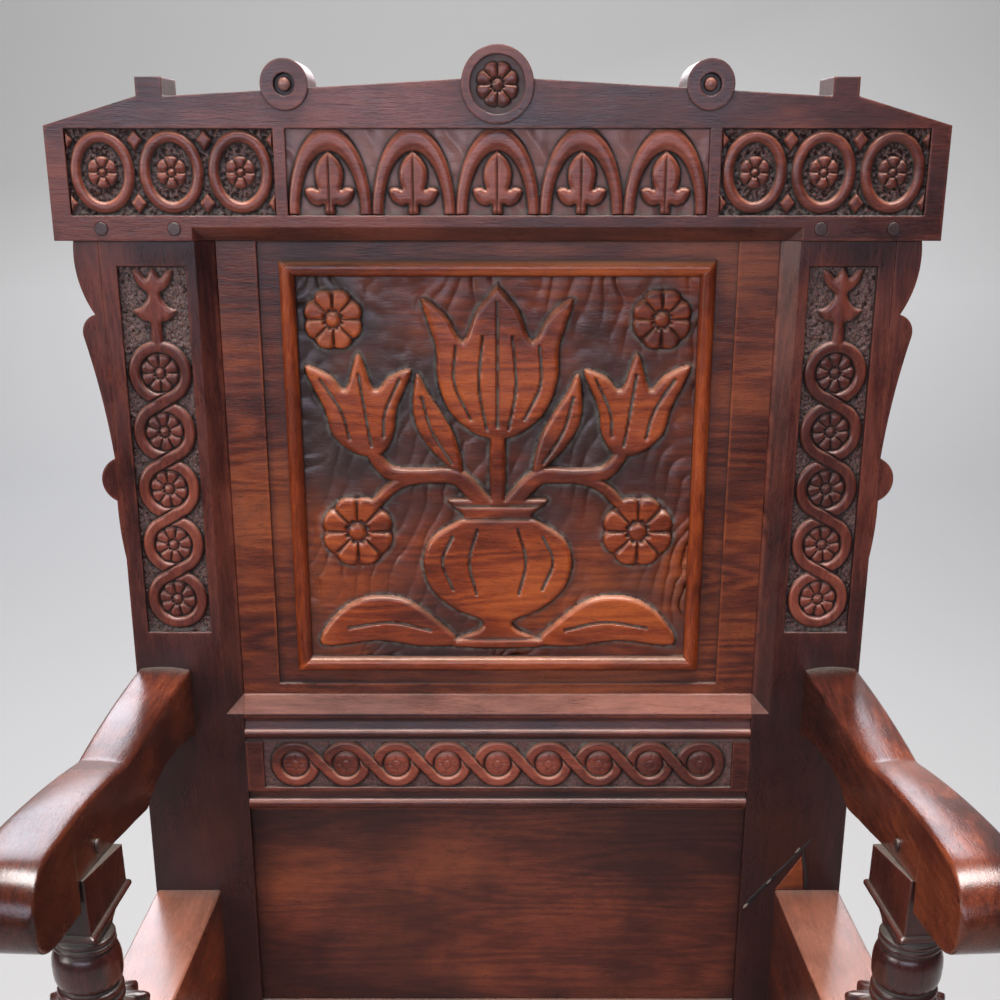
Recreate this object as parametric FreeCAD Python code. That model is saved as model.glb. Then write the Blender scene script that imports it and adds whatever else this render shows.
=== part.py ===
import FreeCAD, Part
import math
import os
from FreeCAD import Vector

os.makedirs("parts", exist_ok=True)

# A joined armchair with a panelled, leaning back. Millimetres, +Z up, the sitter faces -Y.
# The back is laid out upright, then leaned about the seat line. The right half is at +X.

# Whole chair
seat_top = 400.0
side_rail_top = 525.0
rake_angle = 4.3
splay_angle = 3.2

# Joints: cheek clearance, spare depth at a mortise's end, and overrun for cuts
joint_gap = 0.2
mortise_relief = 1.5
overrun = 20.0
tenon_length = 32.0
tenon_thickness = 14.0
tenon_set_back = 20.0
shoulder = 12.0
peg_radius = 4.5
peg_proud = 0.8
peg_length = 38.0
arris = 1.5

# Stiles, which are also the rear legs
stile_outer = 311.8
stile_width = 90.0
stile_thickness = 48.0
stile_length = 689.5
rear_leg_width = 62.0
rear_leg_shoulder = 330.0

# Bevel round the upper opening, and the panel grooves
bevel_width = 15.0
bevel_depth = 10.0
groove_depth = 10.0
panel_tongue = 8.0
panel_gap = 1.0

# Sunk carved strips on the stiles
strip_width = 54.0
strip_length = 299.5
strip_bottom = 370.8
strip_margin = 13.0
carving_depth = 4.0

# Crest rail
crest_overhang = 32.2
crest_proud = 6.0
crest_end_height = 83.0
crest_block_height = 103.5
crest_middle_height = 117.0
crest_bevel = 10.0
lug_inset = 72.0
lug_width = 20.0
lug_height = 13.5
band_end_margin = 15.0
band_rise = 18.5
band_height = 62.5
divider_inset = 163.0
divider_width = 9.0
crest_tenon_height = 45.0
crest_tenon_inset = 16.0
crest_peg_radius = 4.9
crest_peg_rise = 8.8
crest_peg_inset = 5.1
crest_peg_spacing = 56.4

# Roundels on the crest
roundel_rise = 111.7
roundel_proud = 2.0
roundel_radius = 27.5
roundel_ring = 6.5
roundel_hollow = 4.0
small_roundel_inset = 184.0
small_roundel_radius = 18.1
small_roundel_ring = 10.0
small_roundel_hollow = 6.0
button_radius = 5.0
button_stem_radius = 3.0
button_stem_length = 10.0
button_proud = 5.0

# Scrolled ears glued to the outer edges of the stiles
ear_width = 19.2
ear_length = 254.0
ear_thickness = 32.0

# Middle rail
middle_rail_bottom = 203.6
middle_rail_height = 108.7
middle_rail_thickness = 40.0
middle_band_rise = 23.4
middle_band_height = 43.4
middle_band_inset = 14.8

# Upper panel with its mitred half-round moulding
panel_thickness = 16.0
panel_step_depth = 3.0
panel_step_margin = 31.5
panel_step_fillet = 9.0
moulding_inset = 48.3
moulding_bottom_rise = 20.7
moulding_top_drop = 15.1
moulding_width = 12.5
moulding_height = 7.0
field_depth = 2.5

# Lower back rail
lower_rail_height = 65.0
lower_rail_above_seat = 5.0
lower_rail_set_back = 1.5
lower_rail_thickness = 32.0

# Arms
arm_top = 739.0
arm_inset = 24.0
arm_nose_reach = 138.0
arm_back_height = 65.0
arm_width = 46.0
arm_tenon_height = 36.0
arm_post_tenon_width = 36.0
arm_post_tenon_thickness = 18.0
arm_post_tenon_height = 26.0
arm_peg_rise = 14.0

# Front posts: square blocks with turned lengths between them
post_offset = 2.3
post_forward = 252.0
post_width = 74.0
foot_height = 62.0
foot_radius = 33.0
lower_block_top = 152.0
upper_block_bottom = 308.0
upper_block_top = 534.0
leg_radius = 33.0
ring_height = 5.0
cup_neck_radius = 25.0
cup_radius = 35.0
cup_height = 66.0
bulb_radius = 25.3
bulb_height = 33.0
ring_root_radius = 19.5
ring_radius = 22.0
neck_width = 34.0
neck_height = 16.0
cap_width = 43.0
cap_depth = 78.0
cap_turn_angle = 5.5
cap_bead_height = 5.0
cap_bead_proud = 3.0

# Side rails, front rail, seat boards and their cleats
side_rail_inset = 29.2
side_rail_width = 58.0
side_rail_height = 165.0
front_rail_height = 60.0
front_rail_thickness = 32.0
front_rail_set_back = 8.0
seat_board_thickness = 20.0
seat_board_count = 3
seat_overhang = 34.0
seat_side_gap = 1.0
seat_board_gap = 0.6
cleat_width = 24.0
cleat_height = 20.0

# Stretchers
stretcher_bottom = 80.0
stretcher_height = 50.0
stretcher_thickness = 26.0
stretcher_tenon_thickness = 12.0

# Outlines, as shares of the sizes named beside them
# Ear: share of ear_width outwards, share of ear_length down from the crest
ear_scroll_shares = (
    ((1.0, 0.0), (0.95, 0.115), (0.385, 0.220)),
    ((0.385, 0.220), (0.80, 0.240), (0.93, 0.290)),
    ((0.93, 0.290), (0.47, 0.455), (0.11, 0.670)),
    ((0.11, 0.670), (0.74, 0.742), (0.17, 0.807)),
    ((0.17, 0.807), (0.14, 0.905), (0.0, 1.0)),
)
# Arm, side view: share of arm_length forwards, share of arm_back_height above arm_top
arm_side_shares = (
    ((0.0, 0.0), (0.20, 0.03), (0.44, 0.0)),
    ((0.44, 0.0), (0.66, 0.275), (0.90, 0.44)),
    ((0.90, 0.44), (1.0, -0.02), (0.933, -0.551)),
    ((0.933, -0.551), (0.804, -0.70)),
    ((0.804, -0.70), (0.804, -0.36)),
    ((0.804, -0.36), (0.562, -0.65)),
    ((0.562, -0.65), (0.455, -0.80), (0.361, -0.91)),
    ((0.361, -0.91), (0.307, -0.79), (0.225, -0.735)),
    ((0.225, -0.735), (0.11, -0.82), (0.0, -1.0)),
)
arm_underside_run = 5
# Arm, seen from above: share of arm_length forwards, share of arm_width to each side
arm_plan_shares = (
    ((0.0, 0.5), (0.20, 0.485), (0.43, 0.437)),
    ((0.43, 0.437), (0.72, 0.49), (1.0, 0.585)),
)
# Middle rail, end view: share of middle_rail_height, share of bevel_depth behind the stile's face
rail_bevel_shares = ((1.0, 1.0), (0.856, 0.0), (0.818, 0.0), (0.805, 0.30), (0.782, 0.30), (0.722, 0.15))
rail_lip_shares = ((0.655, 0.10), (0.645, 0.30), (0.625, 0.30), (0.610, 0.0), (0.180, 0.0), (0.173, 0.40),
                   (0.118, 0.40))
rail_foot_shares = ((0.026, 0.20), (0.018, 0.45), (0.0, 0.45))
rail_bead_shares = (0.688, -0.18, 0.072, -0.12)
# Turned lengths: share of the radius between root and crown, share of the height, from the bottom up
ring_shares = ((0.0, 0.0), (0.0, 0.12), (1.0, 0.12), (1.0, 0.88), (0.0, 0.88), (0.0, 1.0))
bulb_shares = ((0.0, 0.0), (0.80, 0.20), (1.0, 0.5), (0.80, 0.80), (0.0, 1.0))
cup_shares = ((0.0, 0.0), (0.55, 0.22), (1.0, 0.80), (0.60, 1.0))
# Turned lengths: share of the full radius, share of the height, from the bottom up
leg_shares = ((0.82, 0.0), (0.60, 0.12), (0.86, 0.22), (0.86, 0.78), (0.60, 0.88), (0.82, 1.0))
foot_shares = ((1.0, 0.0), (1.0, 0.60), (0.62, 0.84), (0.80, 1.0))
# Button: share of button_radius, share of button_proud behind its tip
button_shares = ((0.0, 0.0), (1.0, 0.0), (1.0, 1.0))


# Helpers

def block(x_low, x_high, y_low, y_high, z_low, z_high):
    size = (x_high - x_low, y_high - y_low, z_high - z_low)
    return Part.makeBox(size[0], size[1], size[2], Vector(x_low, y_low, z_low))


def eased(shape, size):
    """Takes the sharp edges off the long straight arrises of a plain block."""
    edges = [e for e in shape.Edges if e.Length > size * overrun]
    return shape.makeChamfer(size, edges)


def polygon_prism(points, direction):
    return Part.Face(Part.makePolygon(points + [points[0]])).extrude(direction)


def arc_wire(runs):
    """One closed wire from runs of points: two points make a line, and three an arc through them."""
    edges = []
    for run in runs:
        if len(run) == 2:
            edges.append(Part.makeLine(run[0], run[1]))
        else:
            edges.append(Part.Arc(run[0], run[1], run[2]).toShape())
    return Part.Wire(edges)


def cylinder(radius, length, start, direction):
    return Part.makeCylinder(radius, length, start, direction)


def mirrored(shape):
    return shape.mirror(Vector(0, 0, 0), Vector(1, 0, 0))


def lean(shape):
    leaned = shape.copy()
    leaned.rotate(Vector(0, 0, seat_top), Vector(1, 0, 0), -rake_angle)
    return leaned


def splayed(shape, x_place, y_place):
    turned = shape.copy()
    turned.rotate(Vector(x_place, y_place, 0), Vector(0, 0, 1), splay_angle)
    return turned


def grown(x_low, x_high, y_low, y_high, z_low, z_high, lengthwise):
    """The mortise for a tenon of these limits: cheeks wider by the gap, one axis deeper at its end."""
    reach = [joint_gap] * 3
    reach["xyz".index(lengthwise)] = mortise_relief
    return block(x_low - reach[0], x_high + reach[0], y_low - reach[1], y_high + reach[1],
                 z_low - reach[2], z_high + reach[2])


crest_half_length = stile_outer + crest_overhang
lug_outer = crest_half_length - lug_inset
divider_place = crest_half_length - band_end_margin - divider_inset
small_roundel_place = crest_half_length - small_roundel_inset
band_half_length = crest_half_length - band_end_margin
arm_centre = stile_outer - arm_inset
side_rail_centre = stile_outer - side_rail_inset
rake = math.radians(rake_angle)
splay = math.radians(splay_angle)
stile_inner = stile_outer - stile_width
back_top = seat_top + stile_length
moulding_half_width = stile_inner - moulding_inset
middle_band_half_length = stile_inner - middle_band_inset
post_across = side_rail_centre + post_forward * math.tan(splay) + post_offset
panel_set_back = bevel_depth
panel_reach = stile_inner + groove_depth - panel_gap


def face_depth(height):
    """How far back the leaning front face of the stiles is at a height above the floor."""
    return (height - seat_top) * math.tan(rake)


# Bevels, as solids to cut with

def bevel_solid(half_width, low, high, front, depth, slant_width, slant_height):
    """A picture-frame bevel: a rectangle at the front narrows to a smaller one at depth."""
    def ring(spread_x, spread_z, y_place):
        x_half = half_width + spread_x
        z_low = low - spread_z
        z_high = high + spread_z
        return Part.makePolygon([Vector(-x_half, y_place, z_low), Vector(x_half, y_place, z_low),
                                 Vector(x_half, y_place, z_high), Vector(-x_half, y_place, z_high),
                                 Vector(-x_half, y_place, z_low)])
    back = ring(-slant_width, -slant_height, front + depth)
    wide = ring(slant_width, slant_height, front - depth)
    return Part.makeLoft([wide, back], True, True)


middle_rail_top = middle_rail_bottom + middle_rail_height
bevel_foot = middle_rail_height * (1.0 - rail_bevel_shares[1][0])
opening_bevel = bevel_solid(stile_inner + bevel_width, seat_top + middle_rail_top - bevel_foot,
                            back_top + stile_width, 0.0, bevel_depth, bevel_width, bevel_foot)


# Stiles

def stile_blank():
    """The side view of a rear leg that leans from the seat up, carried across its width."""
    corner = stile_thickness * math.tan(rake / 2)
    top_y = stile_length * math.sin(rake)
    top_z = seat_top + stile_length * math.cos(rake)
    back_y = top_y + stile_thickness * math.cos(rake)
    back_z = top_z - stile_thickness * math.sin(rake)
    side = [(0, 0), (0, seat_top), (top_y, top_z), (back_y, back_z), (stile_thickness, seat_top - corner),
            (stile_thickness, 0)]
    return polygon_prism([Vector(stile_inner, y, z) for y, z in side], Vector(stile_width, 0, 0))


crest_tenon = (stile_inner + crest_tenon_inset, stile_outer, tenon_set_back,
               tenon_set_back + tenon_thickness, back_top - shoulder, back_top + crest_tenon_height)
strip_outer = stile_outer - strip_margin
strip_inner = strip_outer - strip_width
blank = stile_blank()


def panel_groove():
    low = seat_top + lower_rail_above_seat - groove_depth
    return block(stile_inner - overrun, stile_inner + groove_depth, panel_set_back,
                 panel_set_back + panel_tongue + joint_gap, low, back_top + overrun)


def right_stile():
    body = blank.cut(block(stile_inner - overrun, stile_outer - rear_leg_width, -overrun,
                           stile_thickness + overrun, -overrun, rear_leg_shoulder))
    cuts = [opening_bevel, panel_groove()]
    cuts.append(block(strip_inner, strip_outer, -overrun, carving_depth,
                      seat_top + strip_bottom, seat_top + strip_bottom + strip_length))
    body = body.cut([lean(c) for c in cuts])
    return body.fuse(lean(block(*crest_tenon))).removeSplitter()


# Ears

def right_ear():
    """A flat scrolled bracket whose curves meet in sharp notches."""
    front = 0.0
    top = back_top

    def place(shares):
        return Vector(stile_outer + shares[0] * ear_width, front, top - shares[1] * ear_length)
    runs = [[place(s) for s in run] for run in ear_scroll_shares]
    inner_top = Vector(stile_outer, front, top)
    runs.insert(0, [inner_top, runs[0][0]])
    runs.append([runs[-1][-1], inner_top])
    return Part.Face(arc_wire(runs)).extrude(Vector(0, ear_thickness, 0))


# Crest rail

def turned(points, start, along):
    """Turns a run of points about the axis that starts at start and points along it."""
    return Part.Face(Part.makePolygon(points + [points[0]])).revolve(start, along, 360)


def roundel(x_place, radius, ring, hollow):
    """A turned disc: a flat rim about a sunk hollow, carried through the board."""
    front = -crest_proud - roundel_proud
    inner = radius - ring
    outline = [(0, front + hollow), (inner, front + hollow), (inner, front), (radius, front),
               (radius, stile_thickness), (0, stile_thickness)]
    centre = back_top + roundel_rise
    points = [Vector(x_place + r, y, centre) for r, y in outline]
    return turned(points, Vector(x_place, 0, centre), Vector(0, 1, 0))


def crest():
    bottom = back_top
    front = -crest_proud
    lug_inner = lug_outer - lug_width
    lug_foot = crest_block_height
    outline = [(crest_half_length, 0.0), (crest_half_length, crest_end_height), (lug_outer, lug_foot),
               (lug_outer, lug_foot + lug_height), (lug_inner, lug_foot + lug_height), (lug_inner, lug_foot),
               (0.0, crest_middle_height)]
    right = [Vector(x, front, bottom + z) for x, z in outline]
    left = [Vector(-p.x, p.y, p.z) for p in reversed(right[:-1])]
    thickness = stile_thickness + crest_proud
    body = polygon_prism(right + left, Vector(0, thickness, 0))
    discs = [(0.0, roundel_radius, roundel_ring, roundel_hollow)]
    small = (small_roundel_radius, small_roundel_ring, small_roundel_hollow)
    discs.extend([(side * small_roundel_place,) + small for side in (-1, 1)])
    for x_place, radius, ring, hollow in discs:
        start = Vector(x_place, front - overrun, bottom + roundel_rise)
        clear = cylinder(radius, thickness + overrun, start, Vector(0, 1, 0))
        body = body.cut(clear).fuse(roundel(x_place, radius, ring, hollow))
    body = body.removeSplitter()
    low = bottom + band_rise
    high = low + band_height
    inner_edge = divider_place - divider_width / 2
    outer_edge = divider_place + divider_width / 2
    cuts = [block(-inner_edge, inner_edge, front - overrun, front + carving_depth, low, high)]
    for side in (-1, 1):
        ends = sorted((side * outer_edge, side * band_half_length))
        cuts.append(block(ends[0], ends[1], front - overrun, front + carving_depth, low, high))
    start = Vector(0, front - overrun, bottom + roundel_rise)
    keep = cylinder(roundel_radius, 2 * overrun, start, Vector(0, 1, 0))
    cuts[0] = cuts[0].cut(keep)
    cuts.append(bevel_solid(stile_inner + bevel_width, bottom - stile_width, bottom + crest_bevel, front,
                            crest_bevel, crest_bevel, crest_bevel))
    groove_half = stile_inner + groove_depth
    cuts.append(block(-groove_half, groove_half, panel_set_back, panel_set_back + panel_tongue + joint_gap,
                      bottom - overrun, bottom + groove_depth))
    mortise = grown(*crest_tenon, "z")
    cuts.extend([mortise, mirrored(mortise)])
    return body.cut(cuts)


def crest_peg_places():
    outer = stile_outer - crest_peg_inset
    return [side * x for side in (-1, 1) for x in (outer - crest_peg_spacing, outer)]


def crest_peg_cylinder(x_place, radius):
    start = Vector(x_place, -crest_proud - peg_proud, back_top + crest_peg_rise)
    return cylinder(radius, peg_length + crest_proud, start, Vector(0, 1, 0))


def crest_button(side):
    """A turned button: a domed head on a short stem glued into the small roundel."""
    seat = -crest_proud - roundel_proud + small_roundel_hollow
    tip = seat - button_proud
    end = seat + button_stem_length
    outline = [(r * button_radius, tip + y * button_proud) for r, y in button_shares]
    outline.extend([(button_stem_radius, seat), (button_stem_radius, end), (0, end)])
    place = side * small_roundel_place
    centre = back_top + roundel_rise
    points = [Vector(place + r, y, centre) for r, y in outline]
    return turned(points, Vector(place, 0, centre), Vector(0, 1, 0))


# Middle rail

def middle_rail():
    """A moulded rail: bevel, flat, cove, bead, sunk carved band, cove and bead, from the top down."""
    bottom = seat_top + middle_rail_bottom

    def place(shares):
        return Vector(-stile_inner, shares[1] * bevel_depth, bottom + shares[0] * middle_rail_height)
    upper = [place(s) for s in rail_bevel_shares]
    lip = [place(s) for s in rail_lip_shares]
    foot = [place(s) for s in rail_foot_shares]
    edges = [Part.makeLine(a, b) for points in (upper, lip, foot) for a, b in zip(points, points[1:])]
    edges.append(Part.Arc(upper[-1], place(rail_bead_shares[:2]), lip[0]).toShape())
    edges.append(Part.Arc(lip[-1], place(rail_bead_shares[2:]), foot[0]).toShape())
    back_low = Vector(-stile_inner, middle_rail_thickness, bottom)
    back_high = Vector(-stile_inner, middle_rail_thickness, bottom + middle_rail_height)
    edges.extend([Part.makeLine(foot[-1], back_low), Part.makeLine(back_low, back_high),
                  Part.makeLine(back_high, upper[0])])
    profile = Part.Wire(Part.__sortEdges__(edges))
    body = Part.Face(profile).extrude(Vector(2 * stile_inner, 0, 0))
    band_low = bottom + middle_band_rise
    cuts = [block(-middle_band_half_length, middle_band_half_length, -overrun, carving_depth,
                  band_low, band_low + middle_band_height)]
    groove_back = panel_set_back + panel_tongue + joint_gap
    top = bottom + middle_rail_height
    for low, high in ((bottom - overrun, bottom + groove_depth), (top - groove_depth, top + overrun)):
        cuts.append(block(-stile_inner - overrun, stile_inner + overrun, panel_set_back, groove_back,
                          low, high))
    return body.cut(cuts)


def rail_tenon(bottom, height, set_back):
    """The limits of a back rail's right tenon, which enters the stile."""
    return (stile_inner, stile_inner + tenon_length, set_back, set_back + tenon_thickness,
            bottom + shoulder, bottom + height - shoulder)


middle_tenon = rail_tenon(seat_top + middle_rail_bottom, middle_rail_height, tenon_set_back)
lower_rail_bottom = seat_top + lower_rail_above_seat - lower_rail_height
lower_tenon = rail_tenon(lower_rail_bottom, lower_rail_height, tenon_set_back)


def with_both_tenons(body, limits):
    tenon = block(*limits)
    return body.fuse([tenon, mirrored(tenon)]).removeSplitter()


# Panels

def upper_panel():
    """A board whose edges are thinned behind to a tongue. Its front is stepped down to a flat field."""
    bottom = seat_top + middle_rail_top
    low = bottom - groove_depth + panel_gap
    high = back_top + groove_depth - panel_gap
    tongue = block(-panel_reach, panel_reach, panel_set_back, panel_set_back + panel_tongue, low, high)
    body = block(-stile_inner + panel_gap, stile_inner - panel_gap, panel_set_back,
                 panel_set_back + panel_thickness, bottom + panel_gap, back_top - panel_gap)
    step_half = stile_inner - panel_step_margin
    step = block(-step_half, step_half, -overrun, panel_set_back + panel_step_depth,
                 bottom + panel_step_fillet, back_top - panel_gap)
    field_half = moulding_half_width - moulding_width
    field_low = bottom + moulding_bottom_rise + moulding_width
    field_high = back_top - moulding_top_drop - moulding_width
    field = block(-field_half, field_half, -overrun, panel_set_back + panel_step_depth + field_depth,
                  field_low, field_high)
    return tongue.fuse(body).removeSplitter().cut([step, field])


def moulding(side):
    """One mitred strip of half-round moulding."""
    x_outer = moulding_half_width
    x_inner = x_outer - moulding_width
    z_low = seat_top + middle_rail_top + moulding_bottom_rise
    z_high = back_top - moulding_top_drop
    seat = panel_set_back + panel_step_depth
    crown = seat - moulding_height
    corners = {"bottom": ((-x_outer, z_low), (x_outer, z_low)),
               "top": ((x_outer, z_high), (-x_outer, z_high)),
               "right": ((x_outer, z_low), (x_outer, z_high)),
               "left": ((-x_outer, z_high), (-x_outer, z_low))}
    start, end = corners[side]
    inward = {"bottom": (0, 1), "top": (0, -1), "right": (-1, 0), "left": (1, 0)}[side]

    def across(share, depth):
        reach = share * moulding_width
        return Vector(start[0] + inward[0] * reach, depth, start[1] + inward[1] * reach)
    arc = Part.Arc(across(0.0, seat), across(0.5, crown), across(1.0, seat)).toShape()
    profile = Part.Wire([arc, Part.makeLine(across(1.0, seat), across(0.0, seat))])
    along = Vector(end[0] - start[0], 0, end[1] - start[1])
    bar = Part.Face(profile).extrude(along)
    inner = {"bottom": ((x_inner, z_low + moulding_width), (-x_inner, z_low + moulding_width)),
             "top": ((-x_inner, z_high - moulding_width), (x_inner, z_high - moulding_width)),
             "right": ((x_inner, z_high - moulding_width), (x_inner, z_low + moulding_width)),
             "left": ((-x_inner, z_low + moulding_width), (-x_inner, z_high - moulding_width))}[side]
    corners = [Vector(x, -overrun, z) for x, z in (start, end) + inner]
    return bar.common(polygon_prism(corners, Vector(0, 2 * overrun, 0)))


def lower_panel():
    bottom = seat_top + lower_rail_above_seat
    top = seat_top + middle_rail_bottom
    tongue = block(-panel_reach, panel_reach, panel_set_back, panel_set_back + panel_tongue,
                   bottom - groove_depth + panel_gap, top + groove_depth - panel_gap)
    dip = (panel_set_back + panel_thickness) * math.sin(rake)
    body = block(-stile_inner + panel_gap, stile_inner - panel_gap, panel_set_back,
                 panel_set_back + panel_thickness, bottom + dip + panel_gap, top - panel_gap)
    return tongue.fuse(body).removeSplitter()


def lower_back_rail():
    top = lower_rail_bottom + lower_rail_height
    body = block(-stile_inner, stile_inner, lower_rail_set_back, lower_rail_set_back + lower_rail_thickness,
                 lower_rail_bottom, top)
    groove = block(-stile_inner - overrun, stile_inner + overrun, panel_set_back,
                   panel_set_back + panel_tongue + joint_gap, top - groove_depth, top + overrun)
    return with_both_tenons(body.cut(lean(groove)), lower_tenon)


# Arms

arm_back = face_depth(arm_top)
arm_length = (post_forward + arm_back) / math.cos(splay) + arm_nose_reach


def arm_point(shares, x_place):
    return Vector(x_place, arm_back - shares[0] * arm_length, arm_top + shares[1] * arm_back_height)


def arm_blank():
    """The sawn shape of the arm: its side view carried across, kept only inside its plan view."""
    centre = arm_centre
    runs = [[arm_point(s, centre - arm_width) for s in run] for run in arm_side_shares]
    into_stile = Vector(0, stile_thickness / 2, 0)
    top_start = runs[0][0]
    bottom_end = runs[-1][-1]
    runs.insert(0, [top_start + into_stile, top_start])
    runs.append([bottom_end, bottom_end + into_stile])
    runs.append([bottom_end + into_stile, top_start + into_stile])
    side_view = Part.Face(arc_wire(runs)).extrude(Vector(2 * arm_width, 0, 0))
    low = Vector(0, 0, arm_top - 2 * arm_back_height)

    def plan_runs(side):
        return [[Vector(centre + side * w * arm_width, arm_back - u * arm_length, low.z) for u, w in run]
                for run in arm_plan_shares]
    outer = plan_runs(1)
    inner = [run[::-1] for run in reversed(plan_runs(-1))]
    outer_start = outer[0][0]
    inner_end = inner[-1][-1]
    front = [[outer[-1][-1], inner[0][0]]]
    rear = [[inner_end, inner_end + into_stile], [inner_end + into_stile, outer_start + into_stile],
            [outer_start + into_stile, outer_start]]
    plan = arc_wire(outer + front + inner + rear)
    plan_view = Part.Face(plan).extrude(Vector(0, 0, 4 * arm_back_height))
    return splayed(side_view.common(plan_view), centre, arm_back)


def arm_tenon():
    """The limits of the tenon on the arm's back end."""
    middle = arm_top - arm_back_height / 2
    return (arm_centre - tenon_thickness / 2, arm_centre + tenon_thickness / 2,
            face_depth(middle) - shoulder, face_depth(middle) + tenon_length,
            middle - arm_tenon_height / 2, middle + arm_tenon_height / 2)


# Front posts

cup_top = upper_block_top + cup_height
bulb_top = cup_top + ring_height + bulb_height
rings_top = bulb_top + 2 * ring_height
bead_bottom = rings_top + neck_height
bead_top = bead_bottom + cap_bead_height


def turned_length(shares, root, crown, low, height):
    """Points of one turned length, whose radius lies between a root and a crown."""
    return [Vector(root + r * (crown - root), 0, low + z * height) for r, z in shares]


def turned_post_part(lengths):
    """Turns lengths that follow each other up the post."""
    points = [p for length in lengths for p in length]
    outline = [points[0]] + [b for a, b in zip(points, points[1:]) if a.distanceToPoint(b) > 0]
    ends = [Vector(0, 0, outline[-1].z), Vector(0, 0, outline[0].z)]
    return turned(outline + ends, Vector(0, 0, 0), Vector(0, 0, 1))


def post_at_origin():
    """Foot, stretcher block, turned leg, rail block, cup, rings, bulb and flared cap on one axis."""
    half = post_width / 2
    foot = turned_post_part([turned_length(foot_shares, 0, foot_radius, 0, foot_height)])
    leg = turned_post_part([turned_length(leg_shares, 0, leg_radius, lower_block_top,
                                          upper_block_bottom - lower_block_top)])
    ring_lows = [cup_top, bulb_top, bulb_top + ring_height]
    rings = [turned_length(ring_shares, ring_root_radius, ring_radius, low, ring_height)
             for low in ring_lows]
    cup = turned_length(cup_shares, cup_neck_radius, cup_radius, upper_block_top, cup_height)
    bulb = turned_length(bulb_shares, ring_root_radius, bulb_radius, cup_top + ring_height, bulb_height)
    pieces = [eased(block(-half, half, -half, half, foot_height, lower_block_top), arris), leg,
              eased(block(-half, half, -half, half, upper_block_bottom, upper_block_top), arris),
              turned_post_part([cup, rings[0], bulb, rings[1], rings[2]])]
    bead_x = cap_width / 2 + cap_bead_proud
    bead_y = cap_depth / 2 + cap_bead_proud
    bead = block(-bead_x, bead_x, -bead_y, bead_y, bead_bottom, bead_top)
    cap = [cap_flare(), bead.makeChamfer(arris, bead.Edges),
           block(-cap_width / 2, cap_width / 2, -cap_depth / 2, cap_depth / 2, bead_top, arm_top)]
    for piece in cap:
        piece.rotate(Vector(0, 0, 0), Vector(0, 0, 1), cap_turn_angle)
    return foot.fuse(pieces + cap).removeSplitter()


def cap_flare():
    """The flare under the cap: a square neck that opens out to the cap's oblong."""
    def oblong(x_half, y_half, height):
        return Part.makePolygon([Vector(x, y, height) for x, y in
                                 ((x_half, y_half), (-x_half, y_half), (-x_half, -y_half),
                                  (x_half, -y_half), (x_half, y_half))])
    neck = neck_width / 2
    return Part.makeLoft([oblong(neck, neck, rings_top), oblong(cap_width / 2, cap_depth / 2, bead_bottom)],
                         True, True)


post_tenon = (-arm_post_tenon_thickness / 2, arm_post_tenon_thickness / 2,
              -arm_post_tenon_width / 2, arm_post_tenon_width / 2)


def at_post(shape):
    placed = shape.copy()
    placed.translate(Vector(post_across, -post_forward, 0))
    return placed


def tenon_into_arm(arm, limits, reach):
    """A post's tenon, standing a set height above the arm's sloping underside."""
    under = arm_underside_at_post()
    return at_post(block(*limits, bead_top, under + reach))


def arm_underside_at_post():
    """Height of the arm's straight underside above the middle of the post."""
    front, back = arm_side_shares[arm_underside_run]
    along = (post_forward + arm_back) / math.cos(splay) / arm_length
    share = front[1] + (along - front[0]) / (back[0] - front[0]) * (back[1] - front[1])
    return arm_top + share * arm_back_height


# Side rails, front rail and stretchers

post_back = -post_forward + post_width / 2
side_rail_bottom = side_rail_top - side_rail_height


def side_bar(centre, width, low, high, reach):
    """A straight bar from inside the stile to the front post, square to the splay."""
    bar = block(centre - width / 2, centre + width / 2, post_back - reach, stile_thickness / 2, low, high)
    return splayed(bar, centre, 0.0)


def side_rail():
    bar = side_bar(side_rail_centre, side_rail_width, side_rail_bottom, side_rail_top, post_width / 2)
    bar = eased(bar, arris)
    front_trim = block(0, 2 * stile_outer, -2 * post_forward, post_back, 0, back_top)
    return bar.cut([blank, front_trim])


def side_tenons():
    """Limits of the side rail's two tenons, in line with the chair's depth."""
    low = side_rail_bottom + shoulder
    high = side_rail_top - shoulder
    into_stile = (side_rail_centre - tenon_thickness / 2, side_rail_centre + tenon_thickness / 2,
                  -shoulder, tenon_length, low, high)
    front_centre = side_rail_centre - post_back * math.tan(splay)
    into_post = (front_centre - tenon_thickness / 2, front_centre + tenon_thickness / 2,
                 post_back - tenon_length, post_back + shoulder, low, high)
    return into_stile, into_post


front_rail_top = seat_top - seat_board_thickness
front_rail_front = -post_forward - post_width / 2 + front_rail_set_back
post_inner = post_across - post_width / 2


def front_bar(low, height, thickness, front, tenon):
    """A rail between the front posts with a tenon on each end."""
    body = block(-post_inner, post_inner, front, front + thickness, low, low + height)
    middle = front + thickness / 2
    limits = (post_inner, post_inner + tenon_length, middle - tenon / 2, middle + tenon / 2,
              low + shoulder, low + height - shoulder)
    return with_both_tenons(eased(body, arris), limits), limits


def rear_stretcher_parts():
    inner = stile_outer - rear_leg_width
    middle = stile_thickness / 2
    low = stretcher_bottom + stretcher_height - shoulder
    body = block(-inner, inner, middle - stretcher_thickness / 2, middle + stretcher_thickness / 2,
                 low, low + stretcher_height)
    limits = (inner, inner + tenon_length, middle - stretcher_tenon_thickness / 2,
              middle + stretcher_tenon_thickness / 2, low + shoulder, low + stretcher_height - shoulder)
    return with_both_tenons(eased(body, arris), limits), limits


side_stretcher_centre = stile_outer - rear_leg_width / 2


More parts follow.
